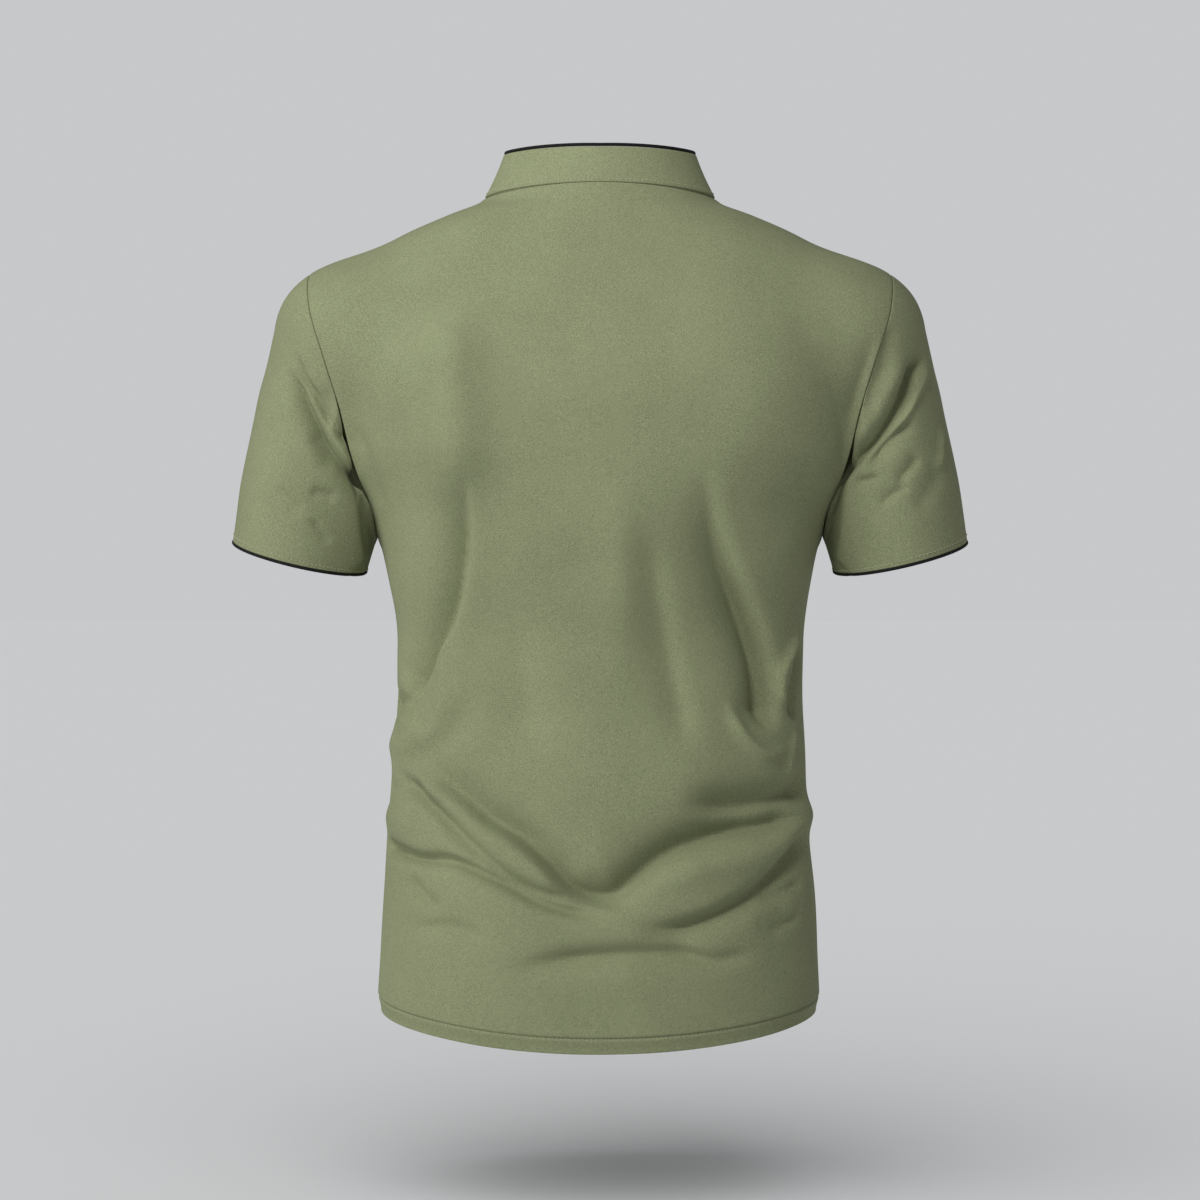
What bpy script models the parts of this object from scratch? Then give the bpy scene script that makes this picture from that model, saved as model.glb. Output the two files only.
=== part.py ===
"""Polo shirt with a band collar, filled out as it is worn, with nobody in it.

Each piece that a maker would cut is a thin wall of cloth laid on a general figure: a torso of smooth
sections and two arms. Lengths are in millimetres until a mesh is made, which is in metres.
+Z is up, the front faces -Y and the wearer's left is +X. The origin is in the middle of the neck opening.
"""

from math import pi

import bpy
import numpy as np
from mathutils import Vector

MM = 0.001

# ---- the cloth ----
WALL = 1.4  # the cloth's wall
SEAM = 0.3  # the gap between two pieces at a seam
ARMHOLE_SEAM = 0.45  # the gap round the armhole, where the two pieces meet at an angle
EASE_IN = 1.6  # the first line of faces beside a seam is this narrow
EASE_TURN = 0.011  # the same, as a turn round the back or front
EASE_SHARE = 0.01  # the same, as a share of the sleeve's length

# ---- the figure: the torso's sections, from the hem up ----
# height, half width on the wearer's left and right, depth behind and in front, squareness (2 is an ellipse)
TORSO = (
    (-690, 174, 172, 124, 120, 2.4),
    (-645, 177, 175, 126, 121, 2.4),
    (-600, 175, 173, 124, 123, 2.4),
    (-550, 172, 171, 118, 125, 2.4),
    (-500, 169, 166, 109, 125, 2.4),
    (-450, 165, 164, 102, 123, 2.4),
    (-400, 162, 162, 99, 122, 2.4),
    (-355, 161, 162, 101, 124, 2.4),
    (-300, 169, 169, 110, 129, 2.4),
    (-256, 177, 176, 118, 132, 2.4),
    (-230, 186, 186, 121, 131, 2.5),
    (-200, 200, 200, 123, 128, 2.6),
    (-150, 211, 211, 122, 115, 2.6),
    (-110, 215, 215, 112, 99, 2.5),
    (-80, 212, 212, 99, 84, 2.35),
    (-60, 199, 199, 89, 75, 2.25),
    (-44, 181, 180, 80, 67, 2.15),
    (-30, 157, 157, 73, 61, 2.1),
    (-15, 122, 122, 66, 56, 2.1),
    (-5, 97, 97, 61, 54, 2.0),
    (5, 90, 90, 58, 52, 2.0),
    (40, 76, 76, 50, 48, 2.0),
)

# ---- the figure: the left arm, from the shoulder to the sleeve's hem ----
SHOULDER = np.array((204, 0, -117))
SLEEVE_END = np.array((240.5, -8, -284.5))
# distance from the shoulder, half width seen from behind, half depth
ARM = (
    (0, 54, 66),
    (60, 58, 67),
    (120, 58, 64),
    (175, 54.8, 60),
)
BLEND = (42, 8)  # how softly the arm joins the torso, at the shoulder and under the arm
BLEND_HEIGHTS = (-110, -215)
ARM_LEAVES_BODY = (-206, -248)  # between these heights the body's cloth leaves the arm
TORSO_LEAVES_SLEEVE = (-151, -216)  # between these heights the sleeve's cloth leaves the torso
OUT_OF_REACH = 60  # how far in the arm or torso is drawn there

# ---- how points are laid on the figure ----
FAR = 200  # further than the cloth is from the middle, in front or behind
INSIDE = 0.75  # the share of a point's distance from the middle at which its level line starts inside
OVERSHOOT = 1.8  # how many times as far as a row's ellipse its lines are followed
HALVINGS = 28  # steps in which the place is narrowed down where a line leaves the figure
LAY_STEPS = 12  # steps in which points are moved straight on to the figure
LAY_STRIDE = 25  # the longest of these steps

# ---- seams ----
HEM_SIDE, HEM_BACK, HEM_FRONT = -645, -666, -660
ARMHOLE_MIDDLE = -155
ARMHOLE_REACH = 160  # further than the armhole is from its middle
SHOULDER_INSIDE = -140  # a height inside the figure all along the shoulder
FIT_TURN = pi / 3  # from this turn on a row is fitted to the panel's edge
SEAM_REACH = 0.3  # the share of the sleeve over which it is fitted to the armhole
# height, distance of the armhole seam from the middle of the shirt, behind and in front
ARMHOLE = (
    (-300, 178, 178),
    (-250, 180, 180),
    (-221, 191, 187),
    (-171, 203, 193),
    (-134, 214, 205),
    (-96, 226, 219),
    (-60, 231, 229),
    (-30, 232, 232),
)
NECK_SIDE = 94
NECK_BACK = 5
NECK_FRONT = -66
# height of a row of the back or front where it crosses the middle, for where it meets the panel's edge
YOKE_BACK, YOKE_FRONT = -112, -120  # the row that ends at the shoulder tip
CHEST_BACK, CHEST_FRONT = -262, -262  # the row that ends under the arm

# ---- sleeve hem ----
HEM_RISE = 13.5  # degrees that the hem's outer end is above its inner end
HEM_FALL = 7.5  # degrees that the hem falls towards the back
HEM_ACROSS, HEM_DEPTH = 54.8, 60

# ---- collar ----
# turn round the neck from the centre front in degrees, lean inwards at the top edge, height
COLLAR = (
    (0, 9, 32),
    (60, 11, 33),
    (90, 15.5, 34.5),
    (135, 12, 31),
    (180, 8, 29),
)
COLLAR_WALL = 2
COLLAR_HOLLOW = 0.8  # how far the band bends in between its two edges
COLLAR_CORNER = 13  # radius of its two front corners
COLLAR_END = 3.4  # the band's ends stop this far from the centre front
COLLAR_EASE = 0.05  # the narrow lines of faces beside its two edges, as a share of its height
COLLAR_UPRIGHT = 0.3  # the share of the way round, from the centre front, where its lines stand upright

# ---- piping ----
COLLAR_PIPING, SLEEVE_PIPING = 1.2, 1.4  # radii

# ---- placket and buttons ----
PLACKET_WIDTH, PLACKET_LENGTH = 32, 152
PLACKET_WALL = 1.6
PLACKET_TOP = NECK_FRONT - 1
BUTTON_RADIUS, BUTTON_THICK = 5.8, 2.4
BUTTON_RIM = 0.6
BUTTON_SIDES = 24
BUTTON_DROPS = (20, 66, 112)

# ---- the largest folds ----
# name, side, depth (a ridge is negative), width on the left hand and on the right hand of someone who walks
# along the line on the outside of the shirt, and the line itself as (x, z)
FOLDS = (
    ("waist sag", "back", 11, 20, 14,
     ((118, -462), (77, -486), (30, -513), (8, -544), (-14, -546), (-40, -520), (-95, -499), (-160, -488))),
    ("roll under the sag", "back", -8, 13, 20,
     ((154, -455), (118, -494), (76, -528), (28, -552), (-10, -556), (-60, -549), (-114, -531),
      (-158, -492))),
    ("trough under the roll", "back", 6, 12, 18,
     ((158, -508), (110, -530), (60, -551), (8, -562), (-40, -566), (-82, -555), (-122, -538))),
    ("lower trough", "back", 5, 16, 20, ((80, -602), (20, -592), (-38, -584), (-92, -590))),
    ("left pocket", "back", 7, 22, 20, ((88, -300), (112, -350), (134, -392), (152, -410))),
    ("right drop", "back", 7, 16, 20, ((-88, -232), (-96, -290), (-104, -352), (-112, -404), (-122, -430))),
    ("right ridge", "back", -6, 14, 16, ((-108, -415), (-128, -442), (-148, -452))),
    ("middle drop", "back", 3.5, 24, 24, ((-34, -280), (-42, -350), (-52, -440))),
    ("right waist trough", "back", 6, 14, 16, ((-68, -474), (-98, -466), (-132, -460), (-160, -456))),
    ("front waist sag", "front", 7, 22, 18,
     ((-140, -470), (-80, -505), (-10, -524), (70, -506), (138, -468))),
    ("front waist roll", "front", -5, 18, 22,
     ((-150, -500), (-80, -538), (-6, -556), (74, -538), (150, -498))),
    ("front left drop", "front", 5, 20, 22, ((128, -262), (112, -330), (104, -400))),
    ("front right drop", "front", 5, 20, 22, ((-124, -262), (-110, -335), (-98, -410))),
    ("left sleeve drag", "back", 5, 12, 14, ((226, -146), (214, -182), (202, -216), (190, -240))),
    ("left sleeve lower drag", "back", 4, 12, 14, ((246, -150), (232, -184), (212, -216))),
    ("right sleeve drag", "back", 7, 12, 14, ((-258, -132), (-240, -162), (-222, -188), (-194, -222))),
    ("right sleeve roll", "back", -4, 12, 12, ((-262, -138), (-248, -166), (-230, -186))),
    ("right sleeve lower drag", "back", 4, 13, 14, ((-262, -190), (-246, -214), (-220, -242))),
    ("left sleeve front drag", "front", 5, 13, 15, ((248, -140), (228, -176), (206, -214))),
    ("right sleeve front drag", "front", 5, 13, 15, ((-246, -142), (-228, -178), (-208, -216))),
)
FOLD_RUN_OUT = 0.3  # the share of a fold's length over which each end fades
FOLD_POINTS = 24  # points along a fold's line

# ---- how finely each piece is cut into faces ----
BACK_COLUMNS, FRONT_COLUMNS = 32, 22
BACK_ROWS = (24, 14, 7)  # up the side, up the armhole, along the shoulder
FRONT_ROWS = (16, 12, 6)
SLEEVE_ROWS = 11
COLLAR_CORNER_COLUMNS, COLLAR_COLUMNS, COLLAR_ROWS = 4, 19, 3
PLACKET_COLUMNS, PLACKET_ROWS = 4, 14
NECK_POINTS = 181  # points at which the neck seam's direction is worked out

# ---- finishes: colour as linear red, green and blue, and roughness ----
KNIT = ((0.255, 0.275, 0.160), 0.85)
PIPING = ((0.008, 0.008, 0.008), 0.7)
PLASTIC = ((0.03, 0.03, 0.028), 0.35)


def smooth_rows(table, at):
    """A table's columns at any value of its first column: a cubic through the rows, level at a peak."""
    table = np.array(table, float)
    keys, values = table[:, 0], table[:, 1:]
    at = np.clip(at, keys[0], keys[-1])
    rise = np.diff(values, axis=0) / np.diff(keys)[:, None]
    slope = np.vstack((rise[:1], (rise[1:] + rise[:-1]) / 2, rise[-1:]))
    slope[1:-1][rise[1:] * rise[:-1] <= 0] = 0
    i = np.clip(np.searchsorted(keys, at) - 1, 0, len(keys) - 2)
    gap = (keys[i + 1] - keys[i])[..., None]
    t = (at[..., None] - keys[i][..., None]) / gap
    start, end = values[i], values[i + 1]
    bend = (2 * t**3 - 3 * t**2 + 1) * start + (3 * t**2 - 2 * t**3) * end
    bend = bend + gap * ((t**3 - 2 * t**2 + t) * slope[i] + (t**3 - t**2) * slope[i + 1])
    return np.moveaxis(bend, -1, 0)


def ramp(value, low, high):
    """0 below low, 1 above high, and smooth between; low may be the larger."""
    t = np.clip((value - low) / (high - low), 0, 1)
    return t * t * (3 - 2 * t)


def along(points, count):
    """Points evenly spaced along a line of points."""
    points = np.array(points, float)
    reach = np.append(0, np.cumsum(np.linalg.norm(np.diff(points, axis=0), axis=1)))
    return np.stack([np.interp(np.linspace(0, reach[-1], count), reach, c) for c in points.T], -1)


# ---------------------------------------------------------------- the figure


def torso_distance(p):
    """Distance from the torso: how far the point is outside its height's rounded section."""
    left, right, back, front, square = smooth_rows(TORSO, p[..., 2])
    wide = np.where(p[..., 0] > 0, left, right)
    deep = np.where(p[..., 1] > 0, back, front)
    reach = (np.abs(p[..., 0] / wide) ** square + np.abs(p[..., 1] / deep) ** square) ** (1 / square)
    return (reach - 1) * np.minimum(wide, deep)


def arm_distance(p):
    """Distance from the nearer arm: an oval bar with a round top, along a straight axis."""
    q = np.stack((np.abs(p[..., 0]), p[..., 1], p[..., 2]), -1) - SHOULDER
    axis = SLEEVE_END - SHOULDER
    length = np.linalg.norm(axis)
    down = np.maximum(q @ (axis / length), 0)
    off = q - down[..., None] * axis / length
    wide, deep = smooth_rows(ARM, down)
    return (np.hypot(np.hypot(off[..., 0], off[..., 2]) / wide, off[..., 1] / deep) - 1) * wide


def figure(p, piece):
    """Distance from the figure, where its arm and torso run softly together.

    The body's cloth leaves the arm below the armhole, and the sleeve's cloth leaves the torso there.
    """
    torso, arm = torso_distance(p), arm_distance(p)
    if piece == "body":
        arm = arm + OUT_OF_REACH * ramp(p[..., 2], *ARM_LEAVES_BODY)
    if piece == "sleeve":
        torso = torso + OUT_OF_REACH * ramp(p[..., 2], *TORSO_LEAVES_SLEEVE)
    blend = BLEND[1] + (BLEND[0] - BLEND[1]) * ramp(p[..., 2], BLEND_HEIGHTS[1], BLEND_HEIGHTS[0])
    mix = np.clip(0.5 + 0.5 * (torso - arm) / blend, 0, 1)
    return torso + (arm - torso) * mix - blend * mix * (1 - mix)


def slope(p, piece):
    """The direction in which the distance from the figure grows, and how fast."""
    step = 0.5 * np.eye(3)
    return np.stack([figure(p + s, piece) - figure(p - s, piece) for s in step], -1)


def outward(p, piece):
    """The figure's outward direction at points."""
    grow = slope(p, piece)
    return grow / np.linalg.norm(grow, axis=-1, keepdims=True)


def lay_on(p, piece):
    """Moves points straight out or in until they lie on the figure."""
    for _ in range(LAY_STEPS):
        grow = slope(p, piece)
        move = figure(p, piece)[..., None] * grow / np.sum(grow * grow, -1, keepdims=True)
        p = p - np.clip(move, -LAY_STRIDE, LAY_STRIDE)
    return p


def cross(start, end, piece):
    """Where lines from inside the figure leave it."""
    low, high = np.zeros(start.shape[:-1] + (1,)), np.ones(start.shape[:-1] + (1,))
    for _ in range(HALVINGS):
        middle = (low + high) / 2
        inside = figure(start + middle * (end - start), piece)[..., None] < 0
        low, high = np.where(inside, middle, low), np.where(inside, high, middle)
    return start + low * (end - start)


# ---------------------------------------------------------------- folds


def fold_line(side, line):
    """A fold's line, laid on the figure from its (x, z) points seen from behind."""
    line = along(line, FOLD_POINTS)
    depth = FAR if side == "back" else -FAR
    start = np.stack((line[:, 0], 0 * line[:, 0], line[:, 1]), -1)
    return cross(start, start + (0, depth, 0), "body")


def fold(p, normal):
    """How far the folds move points out along their normals.

    Each fold is a soft trough or ridge: a bell curve across its line, wider on one side, with faded ends.
    """
    move = np.zeros(p.shape[:-1])
    for _, side, depth, before, after, line in FOLDS:
        points = fold_line(side, line)
        start, run = points[:-1], np.diff(points, axis=0)
        gap = p[..., None, :] - start
        t = np.clip(np.sum(gap * run, -1) / np.sum(run * run, -1), 0, 1)
        off = gap - t[..., None] * run
        away = np.sum(off * off, -1)
        near = np.argmin(away, -1)[..., None]
        share = (near[..., 0] + np.take_along_axis(t, near, -1)[..., 0]) / len(run)
        turn = np.cross(normal, run[near[..., 0]])
        offset = np.take_along_axis(off, near[..., None], -2)[..., 0, :]
        width = np.where(np.sum(offset * turn, -1) > 0, before, after)
        fade = ramp(np.minimum(share, 1 - share), 0, FOLD_RUN_OUT)
        move -= depth * fade * np.exp(-np.take_along_axis(away, near, -1)[..., 0] / width**2)
    return move


def folded(p, piece, out=0):
    """Points on the figure with the folds put in, moved out by a few millimetres more."""
    normal = outward(p, piece)
    return p + normal * (fold(p, normal) + out)[..., None]


# ---------------------------------------------------------------- seams


def armhole(turn, side, behind, shift):
    """The armhole seam, round the arm from the shoulder tip (0) to under the arm (pi).

    It is where the figure leaves the curved sheet on which the table's distances lie.
    """
    low, high = np.zeros(turn.shape), np.full(turn.shape, float(ARMHOLE_REACH))
    column = 0 if behind else 1
    face = 1 if behind else -1

    def on_sheet(reach):
        height = ARMHOLE_MIDDLE + reach * np.cos(turn)
        out = smooth_rows(ARMHOLE, height)[column] + shift
        return np.stack((side * out, face * reach * np.sin(turn), height), -1)

    for _ in range(HALVINGS):
        middle = (low + high) / 2
        inside = figure(on_sheet(middle), "all") < 0
        low, high = np.where(inside, middle, low), np.where(inside, high, middle)
    return on_sheet(low)


def beside_last(steps):
    """The same steps with one more close beside the last, so that the edge follows the figure there."""
    return np.insert(steps, -1, steps[-1] + np.sign(steps[-2] - steps[-1]) * EASE_IN)


def shoulder_seam(out, side, face):
    """Points along the shoulder's ridge at distances out from the middle."""
    start = np.stack((side * out, face * SEAM / 2 + 0 * out, SHOULDER_INSIDE + 0 * out), -1)
    return cross(start, start + (0, 0, FAR), "all")


def panel_edge(side, face, rows):
    """One edge of the back or front: up the side seam, round the armhole, along the shoulder to the neck."""
    side_rows, armhole_rows, shoulder_rows = rows
    behind = face > 0
    round_arm = armhole(np.linspace(pi, 0, armhole_rows + 1), side, behind, -ARMHOLE_SEAM / 2)
    round_arm[[0, -1], 1] = face * SEAM / 2
    height = np.linspace(HEM_SIDE, round_arm[0, 2], side_rows + 1)[:-1]
    wide = smooth_rows(TORSO, height)[0 if side > 0 else 1]
    seam = np.stack((side * wide, face * SEAM / 2 + 0 * wide, height), -1)
    tip = abs(round_arm[-1, 0])
    out = beside_last(np.linspace(tip, NECK_SIDE, shoulder_rows + 1))[1:]
    return np.concatenate((seam, round_arm, shoulder_seam(out, side, face)))


def panel_middle(face, rows):
    """The heights at which the rows of the back or front cross its middle."""
    side_rows, armhole_rows, shoulder_rows = rows
    behind = (HEM_BACK, CHEST_BACK, YOKE_BACK, NECK_BACK)
    in_front = (HEM_FRONT, CHEST_FRONT, YOKE_FRONT, NECK_FRONT)
    hem, chest, yoke, neck = behind if face > 0 else in_front
    up_side = np.linspace(hem, chest, side_rows + 1)[:-1]
    up_armhole = np.linspace(chest, yoke, armhole_rows + 1)
    up_shoulder = beside_last(np.linspace(yoke, neck, shoulder_rows + 1))[1:]
    return np.concatenate((up_side, up_armhole, up_shoulder))


def row_across(turn, edge, middle, face, slant=0):
    """A row of the back or front: level lines from inside the figure, over a quarter ellipse, to its cloth.

    The row starts at the middle (turn 0), runs level there, and ends at the panel's edge (turn pi / 2).
    It meets the edge square to the middle line, or aslant, by a share of up to 1.
    """
    height = middle + (edge[..., 2] - middle) * np.sin(turn) ** 2
    deep = smooth_rows(TORSO, middle)[2 if face > 0 else 3] * face
    out = (np.sin(turn) * (1 - slant) + turn / (pi / 2) * slant) * edge[..., 0]
    over = np.stack((out, np.cos(turn) * deep + np.sin(turn) * edge[..., 1], height), -1)
    inside = np.stack((INSIDE * out, 0 * height, height), -1)
    return cross(inside, inside + OVERSHOOT * (over - inside), "body")


def column_turns(columns):
    """Where the columns of half of the back or front cross its rows, from its middle to its edge."""
    turn = np.linspace(0, pi / 2, columns // 2 + 1)
    return np.insert(turn, -1, pi / 2 - EASE_TURN)


def edge_slant(edge, rows):
    """How far each row meets its edge aslant: most at the shoulder's tip, and not underarm or at the neck."""
    under, tip = edge[rows[0]], edge[rows[0] + rows[1]]
    up_armhole = (edge[:, 2] - under[2]) / (tip[2] - under[2])
    down_shoulder = (np.abs(edge[:, 0]) - NECK_SIDE) / (abs(tip[0]) - NECK_SIDE)
    return ramp(np.where(np.arange(len(edge)) > rows[0] + rows[1], down_shoulder, up_armhole), 0, 1)


def panel(face, columns, rows):
    """The back or front, as a grid of points on the figure: rows from the hem up, each from its +X end."""
    middle = panel_middle(face, rows)[:, None]
    turn = column_turns(columns)
    halves = []
    for side in (1, -1):
        edge = panel_edge(side, face, rows)
        slant = edge_slant(edge, rows)[:, None]
        edge = edge[:, None]
        laid = row_across(turn, edge, middle, face, slant)
        laid += (edge - laid[:, -1:]) * ramp(turn, FIT_TURN, pi / 2)[:, None]
        halves.append(laid)
    return np.concatenate((halves[0][:, ::-1], halves[1][:, 1:]), 1)


def neck_seam(turn):
    """The seam between body and collar: turn runs from the centre front (0) to the centre back (pi).

    It follows the straight edges of the front's and the back's faces.
    """
    side_neck = np.array((NECK_SIDE, 0, 0))
    front_turn = column_turns(FRONT_COLUMNS)
    back_turn = column_turns(BACK_COLUMNS)[-2::-1]
    front_half = row_across(front_turn, side_neck, NECK_FRONT + 0 * front_turn, -1)
    back_half = row_across(back_turn, side_neck, NECK_BACK + 0 * back_turn, 1)
    corners = np.concatenate((front_half, back_half))
    corner_turn = np.append(front_turn, pi - back_turn)
    return np.stack([np.interp(turn, corner_turn, c) for c in corners.T], -1)


def hem_ring(turn, side):
    """The sleeve's hem: an oval ring, its outer end raised and its back let down."""
    rise, fall = np.radians(HEM_RISE), np.radians(HEM_FALL)
    across = np.array((np.cos(rise), 0, np.sin(rise)))
    deep = np.array((0, np.cos(fall), -np.sin(fall)))
    turn = turn[:, None]
    points = SLEEVE_END + HEM_ACROSS * np.cos(turn) * across + HEM_DEPTH * np.sin(turn) * deep
    return points * (side, 1, 1)


def sleeve(side):
    """A sleeve: a tube from the armhole seam to its hem, laid on the arm and fitted to the seam.

    Its lines start at the corners of the back's and the front's edges, so that the seam is even.
    """
    back_turn = np.linspace(0, pi, BACK_ROWS[1] + 1)
    front_turn = np.linspace(pi, 0, FRONT_ROWS[1] + 1)[1:-1]
    seam_behind = armhole(back_turn, side, True, ARMHOLE_SEAM / 2)
    seam = np.concatenate((seam_behind, armhole(front_turn, side, False, ARMHOLE_SEAM / 2)))
    turn = np.concatenate((back_turn, 2 * pi - front_turn))
    share = np.linspace(0, 1, SLEEVE_ROWS + 1)
    share = np.insert(share, (1, SLEEVE_ROWS), (EASE_SHARE, 1 - EASE_SHARE))[:, None, None]
    laid = lay_on((1 - share) * seam + share * hem_ring(turn, side), "sleeve")
    return laid + (seam - laid[:1]) * ramp(share, SEAM_REACH, 0)


def collar():
    """The band collar: it stands square to the neck seam, leans inwards, and its front corners are round."""
    end = COLLAR_END / NECK_SIDE
    corner = end + COLLAR_CORNER / NECK_SIDE
    turn = np.linspace(end, corner, COLLAR_CORNER_COLUMNS + 1)[:-1]
    turn = np.append(turn, np.linspace(corner, pi, COLLAR_COLUMNS + 1))
    base = neck_seam(turn)
    lean, height = smooth_rows(COLLAR, np.degrees(turn))
    round_neck = np.linspace(0, pi, NECK_POINTS)
    neck_run = np.gradient(neck_seam(round_neck), axis=0)
    run = np.stack([np.interp(turn, round_neck, c) for c in neck_run.T], -1)
    run /= np.linalg.norm(run, axis=-1, keepdims=True)
    inwards = -base * (1, 1, 0)
    inwards /= np.linalg.norm(inwards, axis=-1, keepdims=True)
    up = inwards * (lean / height)[:, None] + (0, 0, 1)
    up -= ramp(turn, 0, pi * COLLAR_UPRIGHT)[:, None] * np.sum(up * run, -1, keepdims=True) * run
    up /= np.linalg.norm(up, axis=-1, keepdims=True)
    from_end = np.minimum(np.linalg.norm(base - base[0], axis=-1), COLLAR_CORNER)
    drop = COLLAR_CORNER - np.sqrt(COLLAR_CORNER**2 - (COLLAR_CORNER - from_end) ** 2)
    share = np.insert(np.linspace(0, 1, COLLAR_ROWS + 1), (1, COLLAR_ROWS), (COLLAR_EASE, 1 - COLLAR_EASE))
    share = share[:, None, None]
    rise = SEAM + share * (np.hypot(height, lean) - drop - SEAM)[:, None]
    half = base + up * rise + inwards * COLLAR_HOLLOW * np.sin(pi * share)
    return np.concatenate((half, half[:, -2::-1] * (-1, 1, 1)), 1)


def placket():
    """The button band: a strip on the front, moved out from its points."""
    across = np.linspace(-PLACKET_WIDTH / 2, PLACKET_WIDTH / 2, PLACKET_COLUMNS + 1)
    up = np.linspace(PLACKET_TOP - PLACKET_LENGTH, PLACKET_TOP, PLACKET_ROWS + 1)
    out, height = np.meshgrid(across, up)
    inside = np.stack((out, 0 * out, height), -1)
    return folded(cross(inside, inside - (0, FAR, 0), "body"), "body", SEAM + PLACKET_WALL)


def beside_edge(edge, inner, face, gap, closed=False):
    """A line beside a sheet's edge, level with the middle of its wall; inner is the sheet's next line in."""
    if closed:
        run = np.roll(edge, -1, 0) - np.roll(edge, 1, 0)
    else:
        run = np.gradient(edge, axis=0)
    run = run / np.linalg.norm(run, axis=-1, keepdims=True)
    away = edge - inner
    away = away - np.sum(away * run, -1, keepdims=True) * run
    away = away / np.linalg.norm(away, axis=-1, keepdims=True)
    return edge + away * gap + face * np.cross(run, away)


# ---------------------------------------------------------------- making objects


def material(name, colour, roughness):
    """A plain finish."""
    made = bpy.data.materials.new(name)
    made.use_nodes = True
    shader = made.node_tree.nodes["Principled BSDF"]
    shader.inputs["Base Color"].default_value = (*colour, 1)
    shader.inputs["Roughness"].default_value = roughness
    shader.inputs["Metallic"].default_value = 0
    return made


def cloth(name, points, finish, closed=False, wall=WALL):
    """A sheet of cloth from a grid of points, rows by columns, with its wall put inside it by Solidify."""
    rows, columns = points.shape[:2]
    index = np.arange(rows * columns).reshape(rows, columns)
    if closed:
        index = np.concatenate((index, index[:, :1]), 1)
    faces = np.stack((index[:-1, :-1], index[1:, :-1], index[1:, 1:], index[:-1, 1:]), -1).reshape(-1, 4)
    mesh = bpy.data.meshes.new(name)
    mesh.from_pydata((points.reshape(-1, 3) * MM).tolist(), [], faces.tolist())
    mesh.materials.append(finish)
    made = bpy.data.objects.new(name, mesh)
    shirt.objects.link(made)
    solid = made.modifiers.new("wall", "SOLIDIFY")
    solid.thickness = wall * MM
    solid.offset = -1
    solid.use_quality_normals = True


def tube(name, points, radius, finish, closed):
    """A piping: a round tube along a line of points."""
    curve = bpy.data.curves.new(name, "CURVE")
    curve.dimensions = "3D"
    curve.bevel_depth = radius * MM
    curve.bevel_resolution = 1
    curve.use_fill_caps = True
    line = curve.splines.new("POLY")
    line.points.add(len(points) - 1)
    line.points.foreach_set("co", np.append(points * MM, np.ones((len(points), 1)), 1).ravel())
    line.use_cyclic_u = closed
    curve.materials.append(finish)
    shirt.objects.link(bpy.data.objects.new(name, curve))


def button(name, height, finish):
    """A round button lying on the placket at a height."""
    inside = np.array(((0, 0, height),), float)
    on_front = cross(inside, inside - (0, FAR, 0), "body")
    normal = outward(on_front, "body")
    centre = on_front + normal * (SEAM + PLACKET_WALL + SEAM + BUTTON_THICK / 2)
    bpy.ops.mesh.primitive_cylinder_add(
        vertices=BUTTON_SIDES,
        radius=BUTTON_RADIUS * MM,
        depth=BUTTON_THICK * MM,
        location=centre[0] * MM,
        rotation=Vector(normal[0]).to_track_quat("Z", "Y").to_euler(),
    )
    made = bpy.context.object
    made.name = name
    made.data.materials.append(finish)
    for group in list(made.users_collection):
        group.objects.unlink(made)
    shirt.objects.link(made)
    rim = made.modifiers.new("rim", "BEVEL")
    rim.width = BUTTON_RIM * MM
    rim.segments = 2


def flipped(points):
    """The same sheet with its other side out."""
    return points[:, ::-1]


# ---------------------------------------------------------------- the pieces

for old in list(bpy.data.objects):
    bpy.data.objects.remove(old)

shirt = bpy.data.collections.new("polo_shirt")
bpy.context.scene.collection.children.link(shirt)

knit = material("olive_knit", *KNIT)
black = material("black_piping", *PIPING)
plastic = material("button_plastic", *PLASTIC)

cloth("back", flipped(folded(panel(1, BACK_COLUMNS, BACK_ROWS), "body")), knit)
cloth("front", folded(panel(-1, FRONT_COLUMNS, FRONT_ROWS), "body"), knit)
for side, word in ((1, "left"), (-1, "right")):
    arm = folded(sleeve(side), "sleeve")
    cloth("sleeve_" + word, arm if side > 0 else flipped(arm), knit, closed=True)
    hem = beside_edge(arm[-1], arm[-2], side * WALL / 2, SEAM + SLEEVE_PIPING, closed=True)
    tube("sleeve_piping_" + word, hem, SLEEVE_PIPING, black, closed=True)

band = collar()
cloth("collar", flipped(band), knit, wall=COLLAR_WALL)
free_edge = np.concatenate((band[1:-1, 0], band[-1], band[-2:0:-1, -1]))
next_in = np.concatenate((band[1:-1, 1], band[-2], band[-2:0:-1, -2]))
rim = beside_edge(free_edge, next_in, -COLLAR_WALL / 2, SEAM + COLLAR_PIPING)
tube("collar_piping", rim, COLLAR_PIPING, black, closed=False)

cloth("placket", flipped(placket()), knit, wall=PLACKET_WALL)
for number, drop in enumerate(BUTTON_DROPS, 1):
    button("button_" + str(number), PLACKET_TOP - drop, plastic)
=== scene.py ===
"""Looks of an olive polo shirt with a band collar, seen from behind, filled out as it is worn.

Every piece of cloth is a surface worked out with numpy on the same figure as the solids: a torso of
smooth sections and two arms. Creases are troughs and ridges along lines. Lengths here are in
millimetres until a mesh is made. +Z is up, the front faces -Y, the wearer's left is +X.
"""

from math import cos, pi, radians, sin

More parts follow.
